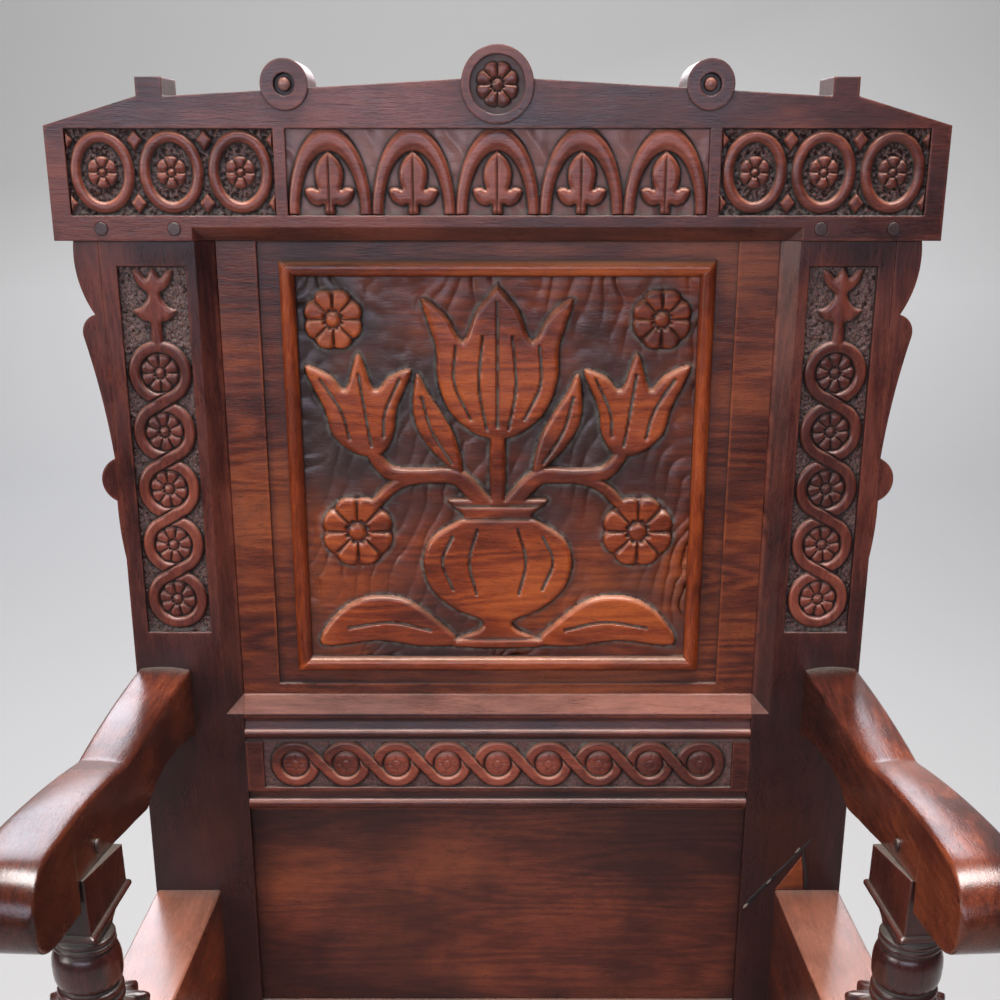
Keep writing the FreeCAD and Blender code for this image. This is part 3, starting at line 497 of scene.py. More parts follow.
def button_dome(side):
    """The turned button in a small roundel: rings that shrink towards a domed crown."""
    box_low, box_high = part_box("crest_button_right" if side > 0 else "crest_button_left")
    x, y, z = (np.add(box_low, box_high) - [0, 2 * FRONT, 0]) * 500
    height = SEAT + (z - SEAT) * cos(RAKE) + y * sin(RAKE)
    angle = np.linspace(0, 2 * pi, 40, endpoint=False)
    rings = [on_back(x + r * np.cos(angle), depth, height + r * np.sin(angle)) for r, depth in BUTTON]
    return ringed_solid("crest_dome_right" if side > 0 else "crest_dome_left", np.array(rings))


domes = [button_dome(1), button_dome(-1)]
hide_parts("crest_button_right")
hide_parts("crest_button_left")
crest_carvings = [crest_field("crest_carving_middle", -161.5, 161.5, "arches", 21),
                  crest_field("crest_carving_right", 170.5, 329.0, "ovals", 22),
                  crest_field("crest_carving_left", -329.0, -170.5, "ovals", 23), crest_flower()]

# %% [markdown]
# ## Upper panel: a vase of flowers in low relief
# The panel's framed field has a lowered ground with the gouge's marks, and on it a vase with tulips
# and daisies, the same on both sides. Strokes draw the stems, closed outlines the vase, petals and
# leaves, and thin cuts the veins.

# %% Panel carving
FIELD_HALF = 161.0
FIELD_LOW, FIELD_HIGH, FIELD_BACK = 745.5, 1061.9, 15.48
VASE = closed_curve([
    (34, 8), (36, 15), (17, 24), (14, 32), (38, 43), (57, 61), (63, 84), (56, 104), (36, 118), (29, 124), (37, 131),
    (40, 138), (1, 138)], mirror=True)
BIG_TULIP = closed_curve([
    (6, 188), (22, 194), (40, 211), (49, 236), (50, 262), (61, 299), (42, 287), (28, 266), (17, 290), (0.5, 309)],
    mirror=True)
SIDE_TULIP = closed_curve([(98, 174), (118, 176), (136, 191), (142, 212), (157, 246), (136, 239), (124, 228),
                           (113, 257), (101, 228), (88, 238), (70, 243), (82, 214), (86, 190)])
LOW_LEAF = closed_curve([(34, 12), (66, 9), (104, 14), (152, 10), (142, 34), (116, 52), (82, 52), (54, 34)])
HIGH_LEAF = closed_curve([(30, 158), (56, 180), (69, 206), (66, 240), (56, 224), (44, 206), (34, 186)])
SIDE_STEM = smooth_path([(12, 134), (34, 156), (62, 157), (90, 160), (106, 180)], count=5)
DAISY_STEM = smooth_path([(60, 157), (84, 150), (104, 132)], count=5)
CENTRE_STEM_HALF, CENTRE_STEM_LOW, CENTRE_STEM_HIGH = 6.5, 130, 196
DAISIES = ((118.0, 110.0, 30.0), (132.0, 283.0, 24.0))
VASE_BANDS = (16.0, 121.0, 132.0)
CUT_HALF = 1.35
CUTS = [[(58, 24), (92, 31), (128, 26)], [(38, 168), (54, 194), (62, 222)], [(22, 204), (35, 232), (34, 262)],
        [(104, 182), (108, 206), (113, 240)], [(0.1, 198), (0.1, 240), (0.1, 296)], [(18, 56), (24, 84), (17, 112)],
        [(38, 60), (47, 84), (38, 106)], [(9, 196), (15, 230), (12, 270)], [(94, 190), (92, 210), (80, 236)],
        [(122, 188), (128, 210), (144, 236)]]


def panel_heights(x, z):
    """Height 0 to 1 of the vase and flowers, drawn on the right half and mirrored, and where dust lies."""
    side = np.abs(x)
    shapes = [inside_outline(x, z, outline) for outline in (VASE, BIG_TULIP)]
    shapes += [inside_outline(side, z, outline) for outline in (SIDE_TULIP, LOW_LEAF, HIGH_LEAF)]
    shapes += [CENTRE_STEM_HALF - side - 1000 * ((z <= CENTRE_STEM_LOW) | (z >= CENTRE_STEM_HIGH))]
    shapes += [inside_stroke(side, z, path, np.linspace(foot, tip, len(path)))
               for path, foot, tip in ((SIDE_STEM, 7.5, 5.5), (DAISY_STEM, 5.5, 4.5))]
    best = np.maximum.reduce(shapes)
    height = 0.94 * rounded(best, 3.6)
    for cx, cz, radius in DAISIES:
        away = np.hypot(side - cx, z - cz)
        petals = np.minimum(1.3 * rosette(side - cx, z - cz, radius, turn=0.39), 0.86)
        flower = np.maximum(petals, 0.30 * (away < 0.9 * radius))
        height = np.maximum(height * (away > 0.9 * radius), flower)
        best = np.maximum(best, radius - away)
    dust = 0.80 * np.clip(1 + best / 4.0, 0, 1) * (best < 0)
    for points in CUTS:
        path = smooth_path(points, count=5)
        cut = inside_stroke(side, z, path, np.full(len(path), CUT_HALF)) * (height > 0.3)
        height = height - 0.34 * rounded(cut, CUT_HALF)
        dust = np.maximum(dust, eased(cut, 0.2, 0.9))
    for level in VASE_BANDS:
        line = np.exp(-((z - level) / 1.2) ** 2) * (side < 38) * (height > 0.3)
        height = height - 0.30 * line
        dust = np.maximum(dust, 0.8 * line)
    return height, dust


def panel_board():
    """The carved field inside the moulding."""
    cell = 1.04
    low, high = FIELD_LOW + SLIT, FIELD_HIGH - SLIT
    x = np.linspace(-FIELD_HALF + SLIT, FIELD_HALF - SLIT, int(2 * FIELD_HALF / cell))
    z = np.linspace(low, high, int((FIELD_HIGH - FIELD_LOW) / cell))
    gx, gz = np.meshgrid(x, z, indexing="ij")
    height, dust = panel_heights(gx, gz - FIELD_LOW)
    ground = bare_ground(height)
    noise = np.random.default_rng(31).normal(size=gx.shape)
    drift = softened(noise, 12) * 14
    flutes = np.abs(np.sin(0.21 * gx - 0.09 * gz + 2.4 * drift)) * np.clip(softened(noise, 14) * 26 + 0.4, 0, 1)
    depth = 15.2 - 5.3 * height - 0.42 * flutes * ground + 0.12 * drift + 0.3 * softened(noise, 3)
    layers = [0.8 * hollowness(depth, cell), height, 0 * ground, dust]
    return carved_board("panel_carving", gx, gz, np.minimum(depth, FIELD_BACK - 0.08), FIELD_BACK, layers)


panel_carving = panel_board()

# %% [markdown]
# ## Arms: thick, worn and rounded
# An arm is one bent slab. Two chains of arcs draw its side view, above and below. A section, a
# rectangle with soft corners, stands on a point of each chain, and the view from above gives its
# width. Behind the notch for the post the two points lie one over the other. In front of it they
# share out what is left of the two chains, so the sections fan round the nose, whose kinks are eased
# more than those behind it.

# %% Arm shape
ARM_TOP, ARM_LENGTH, ARM_HEIGHT, ARM_WIDTH = 739.0, 415.93, 65.0, 46.0
ARM_CENTRE = 287.8
ARM_BACK = (ARM_TOP - SEAT) * tan(RAKE)
SPLAY = radians(3.2)
NOTCH = 0.775
UPPER = [((0, 0), (0.20, 0.03), (0.44, 0)), ((0.44, 0), (0.66, 0.275), (0.90, 0.44)),
         ((0.90, 0.44), (1.0, -0.02), (0.933, -0.551)), ((0.933, -0.551), (0.855, -0.648), (NOTCH, -0.727))]
LOWER = [((0, -1.0), (0.11, -0.82), (0.225, -0.735)), ((0.225, -0.735), (0.307, -0.79), (0.361, -0.91)),
         ((0.361, -0.91), (0.455, -0.80), (0.562, -0.65)), ((0.562, -0.65), (0.665, -0.5266), (NOTCH, -0.3948))]
PLAN = [((0, 0.5), (0.20, 0.485), (0.43, 0.437)), ((0.43, 0.437), (0.72, 0.49), (1.0, 0.585))]
PLAN_SCALE = (1, 4)
CORNERS = (3.8, 2.6, 2.8, 2.6)
TIP_ROUND = 6.0


def through(arc, scale):
    """Points of the circle's arc through three points, or of the line if they lie on one."""
    a, b, c = np.array(arc) * scale
    share = np.linspace(0, 1, 24)
    (bx, bz), (cx, cz) = b - a, c - a
    area = 2 * (bx * cz - bz * cx)
    if abs(area) < 1e-3 * (cx * cx + cz * cz):
        return a + (c - a) * share[:, None]
    lean = np.array([cz * (bx * bx + bz * bz) - bz * (cx * cx + cz * cz),
                     bx * (cx * cx + cz * cz) - cx * (bx * bx + bz * bz)]) / area
    start = atan2(-lean[1], -lean[0])
    end = atan2(cz - lean[1], cx - lean[0])
    sweep = (end - start) % (2 * pi) if area > 0 else -((start - end) % (2 * pi))
    turn = start + sweep * share
    return a + lean + np.hypot(*lean) * joined(np.cos(turn), np.sin(turn))


def chain(arcs, scale):
    """Points of arcs that follow each other, drawn in shares of a scale."""
    return np.concatenate([through(arc, scale) for arc in arcs])


def by_length(points, count):
    """Points at equal shares of the length of a path."""
    step = np.concatenate([[0], np.cumsum(np.hypot(*np.diff(points, axis=0).T))])
    at = np.linspace(0, step[-1], count)
    return joined(*(np.interp(at, step, points[:, k]) for k in (0, 1)))


def soft_rectangle(half_width, half_height, radii, crown=0.0):
    """A ring round a rectangle with a radius for each corner, from the upper right one on. The upper
    side may be crowned: it falls by a parabola towards its ends."""
    ring = []
    for corner, (sx, sz) in enumerate(((1, 1), (-1, 1), (-1, -1), (1, -1))):
        r = min(radii[corner], 0.8 * half_height, 0.8 * half_width)
        turn = np.linspace(0, pi / 2, 7) + corner * pi / 2
        ring += [(sx * (half_width - r) + r * cos(a), sz * (half_height - r) + r * sin(a)) for a in turn]
        if corner == 0:
            ring += [(x, half_height) for x in np.linspace(half_width - r, r - half_width, 12)[1:-1]]
    ring = np.array(ring)
    ring[:, 1] -= crown * (ring[:, 0] / half_width) ** 2 * (ring[:, 1] > 0)
    return ring


def eased_chain(points, count, reach):
    """The path with equal steps, and its kinks rounded by an average over a few steps to both sides."""
    points = by_length(points, count)
    wide = np.pad(points, [(reach, reach), (0, 0)], mode="reflect", reflect_type="odd")
    total = np.cumsum(np.concatenate([np.zeros((1, 2)), wide]), axis=0)
    return (total[2 * reach + 1:] - total[:-2 * reach - 1]) / (2 * reach + 1)


def arm_surface(name, side):
    """Rings of the arm from the stile to the nose."""
    scale = np.array([ARM_LENGTH, ARM_HEIGHT])
    notch = NOTCH * ARM_LENGTH
    upper = chain(UPPER, scale)
    near_nose = eased(np.linspace(0, 1, 800), 0.55, 0.64)[:, None]
    over = eased_chain(upper, 800, 7) * (1 - near_nose) + eased_chain(upper, 800, 34) * near_nose
    over[:, :1] += near_nose * (ARM_LENGTH - over[:, 0].max())
    under = eased_chain(chain(LOWER, scale), 500, 4)
    plan = chain(PLAN, PLAN_SCALE) / PLAN_SCALE
    tip = int(np.argmax(over[:, 0]))
    forward = np.linspace(0, notch, 170)
    top, low = (joined(forward, np.interp(forward, *path.T)) for path in (over[:tip], under))
    ahead_top = np.concatenate([top[-1:], over[:tip + 1][over[:tip + 1, 0] > notch]])
    top = np.concatenate([top, by_length(ahead_top, 90)[:-1]])
    low = np.concatenate([low, by_length(over[tip:][::-1], 90)[:-1]])
    rings = []
    for upper, lower in zip(top, low):
        middle, reach = (upper + lower) / 2, (upper - lower) / 2
        tall = np.hypot(*reach)
        left = max(over[tip, 0] - middle[0], 0.0)
        tuck = TIP_ROUND - sqrt(max(TIP_ROUND ** 2 - max(TIP_ROUND - left, 0.0) ** 2, 0.0))
        half = np.interp(middle[0] / ARM_LENGTH, plan[:, 0], plan[:, 1]) * ARM_WIDTH - tuck
        ring = soft_rectangle(half, tall, CORNERS, crown=min(2.4, 0.2 * tall))
        along = ring[:, 1:] * reach / tall + middle
        x = ARM_CENTRE + ring[:, 0] * cos(SPLAY) + along[:, 0] * sin(SPLAY)
        y = ARM_BACK - along[:, 0] * cos(SPLAY) + ring[:, 0] * sin(SPLAY)
        rings.append(joined(side * x, y, ARM_TOP + along[:, 1]))
    return ringed_solid(name, in_metres(np.array(rings)), smooth_angle=58.0)


arms = [arm_surface("arm_body_right", 1), arm_surface("arm_body_left", -1)]
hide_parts("arm_right")
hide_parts("arm_left")

# %% [markdown]
# ## Front posts: lathe work and leaves
# A turned length of a post is a profile of radii and heights swung round the axis. The cup is carved
# with narrow leaves whose tips stand free, so there the radius also changes with the angle. The cap
# under the arm is turned a little outwards with it.

# %% Post shape
POST_X, POST_Y = 298.99, -252.0
BLOCK_HALF = 37
CAP_TURN = radians(5.5)
CAP_SLOPE = 0.187
CUP_LOW, CUP_TALL = 534, 55
FOOT = [(29.5, 0), (32.3, 2.5), (33, 8), (33, 28), (31.8, 37), (26, 46), (21.2, 51), (20.6, 53.5), (22.5, 57),
        (25.6, 59.5), (26.4, 62)]
LEG = [(27, 152), (25.6, 159), (20.6, 167), (19.8, 171), (21.6, 176), (26.8, 183), (28.4, 190), (28.6, 230),
       (28.4, 270), (26.8, 277), (21.6, 284), (19.8, 289), (20.6, 293), (25.6, 301), (27, 308)]
CUP = [(21.5, 534), (26, 538), (29, 545), (32, 560), (34.2, 574), (34.5, 583), (33.0, 587.5), (27, 589.5),
       (21, 590.5)]
RINGS = [(21, 590), (23.6, 591.4), (24.4, 593.6), (23.6, 595.8), (21.6, 597), (23.4, 598.4), (24.3, 600.6),
         (23.6, 603), (20.5, 605)]
BULB = [(20.5, 605), (23.4, 608.3), (24.9, 613.5), (25.3, 621.5), (24.9, 629.0), (23.2, 634.5), (20.4, 638)]
BEADS = [(20.4, 637.6), (22.3, 639), (22.9, 640.5), (22.3, 642), (20.6, 642.9), (22.2, 644.2), (22.7, 645.5),
         (22.1, 647), (19.5, 648.2)]
CAP = [(17, 17, 647.5, 4), (17.1, 18.5, 650, 3.2), (17.8, 23, 654.5, 2.4), (18.8, 29, 658.5, 1.8),
       (20.6, 36.5, 662.5, 1.2), (21.5, 39, 664, 0.9), (23.2, 40.7, 664.2, 1.2), (24.5, 42, 665.4, 1.6),
       (24.5, 42, 667.6, 1.6), (23.2, 40.7, 668.8, 1.2), (21.5, 39, 669.2, 0.9), (21.5, 39, 700, 0.9)]


def lathe(profile, count, segments=96, leaves=None):
    """Rings of a turned length: radius times cosine and sine of the angle, at each height."""
    radius, height = np.split(smooth_path(profile, count), 2, axis=1)
    angle = np.linspace(0, 2 * pi, segments, endpoint=False)[None, :]
    radius = radius + (leaves(angle, height) if leaves else 0.0)
    return joined(radius * np.cos(angle), radius * np.sin(angle), height)


def level_ring(half_x, half_y, z, ease):
    """A square ring with soft corners at one height."""
    ring = soft_rectangle(half_x, half_y, [ease] * 4)
    return joined(*ring.T, z)


def eased_block(low, high):
    """Rings of a square block whose edges are rounded a little all round."""
    ease = 1.6
    bit = 0.3 * ease
    return np.array([level_ring(BLOCK_HALF - inset, BLOCK_HALF - inset, z, ease) for inset, z in (
        (ease, low), (bit, low + bit), (0, low + ease), (0, high - ease), (bit, high - bit), (ease, high))])


def cup_leaves(angle, height):
    """Twelve narrow leaves on the cup, each with a rib. Those towards the seat spread their tips more."""
    share = np.clip((height - CUP_LOW) / CUP_TALL, 0, 1)
    near_rim = eased(share, 0.55, 1.0)
    lobe = np.abs(np.sin(6 * angle))
    rib = np.exp(-(np.cos(6 * angle) / 0.2) ** 2)
    body = 3.4 * np.clip(lobe - 0.65 * near_rim, 0, 1) ** 0.5 + 0.9 * rib
    spread = 1.5 + 9.0 * np.clip(-np.cos(angle - 0.35) - 0.2, 0, 1)
    tip = spread * near_rim * np.clip(lobe - 0.6, 0, 1) / 0.4
    return (body - 2.6 + tip) * eased(share, 0.0, 0.12)


def cap_rings():
    """The oblong cap: a square neck that flares, a bead and a block cut to the arm's slope."""
    rings = np.array([level_ring(*step) for step in CAP])
    turned = np.array([[cos(CAP_TURN), sin(CAP_TURN)], [-sin(CAP_TURN), cos(CAP_TURN)]])
    rings[..., :2] = rings[..., :2] @ turned
    rings[-1][:, 2] = 706.0 - rings[-1][:, 1] * CAP_SLOPE
    return rings


def post_piece(name, side):
    """All lengths of a post in one mesh, each a closed shell that runs a little into the next."""
    points, faces, start = [], [], 0
    for rings in (lathe(FOOT, 6), eased_block(62, 152), lathe(LEG, 6), eased_block(308, 534),
                  lathe(CUP, 10, 288, cup_leaves), lathe(RINGS, 5), lathe(BULB, 6), lathe(BEADS, 5), cap_rings()):
        placed = (rings * [side, 1, 1] + [side * POST_X, POST_Y, 0]).reshape(-1, 3)
        points.append(in_metres(placed))
        faces.extend(block + start for block in outward(placed, ring_faces(*rings.shape[:2])))
        start += len(placed)
    return make_piece(name, np.concatenate(points), faces, smooth_angle=38.0)


posts = [post_piece("post_body_right", 1), post_piece("post_body_left", -1)]
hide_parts("front_post_right")
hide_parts("front_post_left")

# %% [markdown]
# ## An old repair
# Low on the right stile a split was filled and a small wedge let in beside it. The filler is a ribbon
# whose width wanders along a path, and the wedge a thin plate. Both stand a hair proud of the stile.

# %% Repair on the right stile
def thin_plate(name, outline, proud=0.35):
    """A plate on the leaning back: an outline before the stile's face and the same two inside it."""
    x, z = np.asarray(outline, dtype=float).T
    return ringed_solid(name, np.stack([on_back(x, -proud, z), on_back(x, 2.0, z)]), smooth_angle=30.0)


def ribbon(path, widths):
    """Both edges of a path: each of its points moved to its left and to its right by a half width."""
    path = smooth_path(path, count=6)
    run = np.gradient(path, axis=0)
    aside = joined(-run[:, 1], run[:, 0]) / np.hypot(*run.T)[:, None]
    half = np.interp(np.linspace(0, 1, len(path)), np.linspace(0, 1, len(widths)), widths)[:, None]
    return np.concatenate([path + aside * half, (path - aside * half)[::-1]])


LONG_SPLIT = [(225, 506.5), (234, 518), (246, 533), (262, 551), (272, 563), (283, 577)]
SHORT_SPLIT = [(276.5, 566), (277, 556), (280, 543), (281.5, 528)]
CHALK_SPOTS = [(225, 507, 1.5), (245, 532, 1.2), (269, 563, 1.1)]
fillers = [thin_plate("repair_filler_long", ribbon(LONG_SPLIT, [0.9, 2.4, 1.7, 2.3, 1.5, 2.0, 1.2, 0.5])),
           thin_plate("repair_filler_short", ribbon(SHORT_SPLIT, [0.6, 1.7, 1.3, 1.9]))]
chalks = []
for number, (x, z, half) in enumerate(CHALK_SPOTS):
    spot = ribbon([(x, z), (x + 2.2, z + 2.6), (x + 4, z + 5)], [0.4, half, 0.4])
    chalks.append(thin_plate("repair_chalk_%d" % number, spot, proud=0.55))
wedge = thin_plate("repair_wedge", [(253, 526), (279, 526), (275.5, 560)], 0.2)

# %% [markdown]
# ## A small language for shaders
# Node trees read badly as code, so one class wraps a socket. Sums and products of signals add Math
# nodes, and one method makes any other node.

# %% Signals
class Signal:
    """A socket's value that can be added, multiplied and passed to other nodes."""

    def __init__(self, tree, socket):
        self.tree = tree
        self.socket = socket

    def node(self, kind, sockets=None, out=0, **settings):
        """A new node's output, from the node's type, the values of its sockets and its settings."""
        made = self.tree.nodes.new("ShaderNode" + kind)
        for key, value in settings.items():
            setattr(made, key, value)
        for key, value in (sockets or {}).items():
            if isinstance(value, Signal):
                self.tree.links.new(value.socket, made.inputs[key])
            else:
                made.inputs[key].default_value = value
        return Signal(self.tree, made.outputs[out])

    def math(self, operation, first, second=0.0, clamp=False):
        return self.node("Math", {0: first, 1: second}, operation=operation, use_clamp=clamp)

    def __add__(self, other):
        return self.math("ADD", self, other)

    def __sub__(self, other):
        return self.math("SUBTRACT", self, other)

    def __rsub__(self, other):
        return self.math("SUBTRACT", other, self)

    def __mul__(self, other):
        return self.math("MULTIPLY", self, other)

    def clamped(self):
        return self.math("ADD", self, 0.0, clamp=True)

    def between(self, low, high):
        """0 below low, 1 above high."""
        return self.node("MapRange", {0: self, 1: low, 2: high})

    def blend(self, first, second):
        """A colour between two, each a signal or a tone, by this signal."""
        first, second = (v if isinstance(v, Signal) else (*v, 1.0) for v in (first, second))
        return self.node("Mix", {0: self, 6: first, 7: second}, 2, data_type="RGBA")

    def stretched(self, factors, offset):
        """A place scaled along each axis, and moved."""
        return self.node("VectorMath", {0: self, 1: factors, 2: offset}, operation="MULTIPLY_ADD")

    def along(self, axis):
        """A place's or a direction's part along an axis."""
        return self.node("SeparateXYZ", {0: self}, axis)

    def noise(self, scale, detail, rough=0.5):
        """Soft noise of so many lumps to the metre, with finer and finer lumps upon them."""
        return self.node("TexNoise", {"Vector": self, "Scale": scale, "Detail": detail, "Roughness": rough})

    def drive(self, socket):
        self.tree.links.new(self.socket, socket)


def times(tone, factor):
    """A brighter or darker tone."""
    return [v * factor for v in tone]


def new_material(name):
    """A material, its shader's sockets, and the place on the piece as a signal."""
    made = bpy.data.materials.new(name)
    made.use_nodes = True
    tree = made.node_tree
    place = Signal(tree, tree.nodes.new("ShaderNodeTexCoord").outputs["Object"])
    return made, tree.nodes["Principled BSDF"].inputs, place


print("signals ready")

# %% [markdown]
# ## Varnished wood
# Old varnished hardwood is a dark red brown, orange where hands have rubbed it. Long thin noise gives
# the fibres, and slow noise the stains and dark clouds. On carved boards the stored heights part the
# rubbed crests from the ground, which is punched or smooth, and rubbed paler in patches. Corners are
# found with an ambient occlusion test: painted shade, with some dirt, darkens the upright ones nearly to
# black, and pale dust lies in those that face up. The same test inside a board finds its worn edges.
# Faces that look up get a painted sheen, and upright wood gets a painted shadow below the arms.

# %% Wood finishes
GRAIN = {"x": (1, 9, 9), "y": (9, 1, 9), "z": (9, 9, 1)}
PUNCHED = ((0.018, 0.009, 0.008), (0.25, 0.115, 0.088))
HOLLOW_BLACK = (0.010, 0.007, 0.006)
CORNER_SHADE_AND_DIRT = (0.012, 0.005, 0.004)
ARM_SHADOW_TONE = (0.020, 0.006, 0.005)
CARVING_DUST = (0.23, 0.22, 0.18)
LYING_DUST = (0.20, 0.185, 0.16)


def carved_look(start, colour, relief, roughness, carved, bare):
    """The ground, hollows and dust of a carved board, from the heights stored in its mesh."""
    hollow, raised, ground, dust = (start.node("Attribute", out=2, attribute_name=key) for key in LAYERS)
    speck = start.noise(820.0, 2.0, 0.6)
    rubbed = (start.noise(6.5, 3.0, 0.55) + start.along(0) * 0.45).between(0.40, 0.60)
    floor = (rubbed * bare).blend(carved, colour)
    floor = ground.blend(floor, speck.between(0.42, 0.60).blend(*PUNCHED))
    colour = raised.between(0.10, 0.45).blend(floor, colour)
    colour = (hollow * 0.95).clamped().blend(colour, HOLLOW_BLACK)
    patchy = dust * start.noise(110.0, 3.0, 0.65).between(0.38, 0.60)
    colour = patchy.clamped().blend(colour, CARVING_DUST)
    return colour, relief + speck * ground * 3.0, roughness + hollow * 0.3 + patchy * 0.4


def wood(grain, dark, middle, light, rough=0.30, carved=None, seed=0.0, figure=1.0, shade_and_dirt_reach=0.045, top=None,
         coat=0.12, painted_arm_shadow=False, cloud=0.0, bare=0.45, edges=0.55):
    """A varnished wood whose grain runs along an axis, from three tones. Carved is the ground's colour, of
    which a share is bare. Top is the colour of a painted sheen on faces that look up. Clouds darken wide
    patches, edges is how much the sharp edges are rubbed, and wood under the arms can get a painted shadow
    below them."""
    made, sockets, start = new_material("wood")
    place = start.stretched(GRAIN[grain], (seed, seed * 1.7, seed * 0.6))
    slower = [0.45 if v == 1 else 1.0 for v in GRAIN[grain]]
    stain = start.stretched(slower, (seed, 0, seed)).noise(11.0, 4.0, 0.55)
    rings = (place.noise(2.6, 1.0) + place.noise(1.6, 3.0) * 0.35) * 70.0
    rings = rings.math("SINE", rings) * 0.5 + 0.5
    fibre = place.noise(42.0, 4.0, 0.7)
    hair = place.stretched((1, 1, 1), (0.3, 0.1, 0.7)).noise(125.0, 2.0, 0.6)
    tone = stain * 1.5 + fibre * 0.60 + hair * 0.32 + rings * (0.09 * figure) - 0.785
    colour = tone.between(0.22, 0.50).blend(dark, middle)
    colour = tone.between(0.46, 0.78).blend(colour, light)
    colour = (hair.between(0.58, 0.68) * 0.55).blend(colour, times(dark, 0.3))
    blotch = start.noise(19.0, 5.0, 0.65).between(0.56, 0.74)
    colour = (blotch * 0.55).blend(colour, times(dark, 0.45))
    if cloud:
        slow = start.noise(5.2, 4.0, 0.6).between(0.44, 0.60)
        colour = (slow * cloud).blend(colour, times(dark, 0.6))
    relief = fibre * 0.5 + hair * 0.35
    roughness = start.noise(24.0, 3.0) * 0.30 + (hair * 0.20 + (rough - 0.25))
    up = start.node("NewGeometry", out="Normal").along(2)
    corner = start.node("AmbientOcclusion", {"Distance": shade_and_dirt_reach}, 1, samples=6)
    shade = 1 - corner.between(0.15, 0.95)
    if carved:
        colour, relief, roughness = carved_look(start, colour, relief, roughness, carved, bare)
        shade = shade * 0.45
    else:
        inner = start.node("AmbientOcclusion", {"Distance": 0.0028}, 1, samples=5, inside=True, only_local=True)
        edge_worn = (1 - inner.between(0.50, 0.92)) * start.noise(60.0, 4.0, 0.6).between(0.38, 0.60)
        colour = (edge_worn * edges).blend(colour, times(light, 1.5))
    # Painted shade, with some dirt: the occlusion test darkens corners and the wood beside standing parts towards
    # near black.
    colour = (shade * 0.88).blend(colour, CORNER_SHADE_AND_DIRT)
    lying = (up.between(0.55, 0.85) * shade.between(0.32, 0.60)).clamped()
    colour = (lying * 0.75).blend(colour, LYING_DUST)
    roughness = roughness + shade * 0.2
    # Painted shadow of the arms: upright wood is darkened below about the arms' height.
    if painted_arm_shadow:
        colour = ((1 - start.along(2).between(0.66, 0.84)) * 0.72).blend(colour, ARM_SHADOW_TONE)
    # Painted sheen: faces that look up are lightened in patches towards the top tone, where the lamps' reflection
    # would lie.
    if top:
        patches = start.noise(8.0, 5.0, 0.6).between(0.36, 0.58) * 0.35 + 0.55
        painted_sheen = (up.between(0.25, 0.72) * (1 - shade)).clamped() * patches
        colour = painted_sheen.blend(colour, tone.between(0.2, 0.8).blend(times(top, 0.55), times(top, 1.4)))
    edge = start.node("Bevel", {"Radius": 0.0018}, samples=4)
    bump = start.node("Bump", {"Strength": 0.60, "Distance": 0.0005, "Height": relief, "Normal": edge})
    colour.drive(sockets["Base Color"])
    roughness.drive(sockets["Roughness"])
    bump.drive(sockets["Normal"])
    sockets["Coat Weight"].default_value = coat
    sockets["Coat Roughness"].default_value = 0.22
    return made


FRAME_TONES = ((0.032, 0.007, 0.005), (0.092, 0.020, 0.013), (0.20, 0.050, 0.028))
# The posts' tones are the frame's at about half: a darker copy, painted shade for the posts under the arms.
POST_TONES_PAINTED_DARKER = ((0.018, 0.005, 0.004), (0.048, 0.011, 0.008), (0.10, 0.024, 0.015))
MARGIN_TONES = ((0.060, 0.013, 0.008), (0.180, 0.036, 0.014), (0.37, 0.090, 0.027))
LOWER_TONES = ((0.050, 0.012, 0.008), (0.145, 0.033, 0.016), (0.28, 0.072, 0.027))
ARM_TONES = ((0.022, 0.006, 0.004), (0.080, 0.016, 0.008), (0.19, 0.044, 0.016))
RELIEF_TONES = ((0.11, 0.017, 0.005), (0.29, 0.048, 0.011), (0.52, 0.112, 0.022))
BAND_TONES = ((0.068, 0.015, 0.010), (0.17, 0.036, 0.020), (0.31, 0.078, 0.043))
# The middle rail's band uses a brighter copy of the band tones: painted light that makes up for the shade under the
# rail's bevel.
BAND_TONES_PAINTED_LIGHTER = [times(tone, 1.4) for tone in BAND_TONES]
PEG_TONES = ((0.030, 0.014, 0.012), (0.055, 0.028, 0.024), (0.09, 0.055, 0.05))
FILLER_TONES = ((0.006, 0.005, 0.005), (0.013, 0.010, 0.009), (0.03, 0.025, 0.022))
CHALK_TONES = ((0.16, 0.13, 0.10), (0.30, 0.25, 0.19), (0.42, 0.36, 0.28))
SHEEN_TONE = (0.34, 0.155, 0.115)
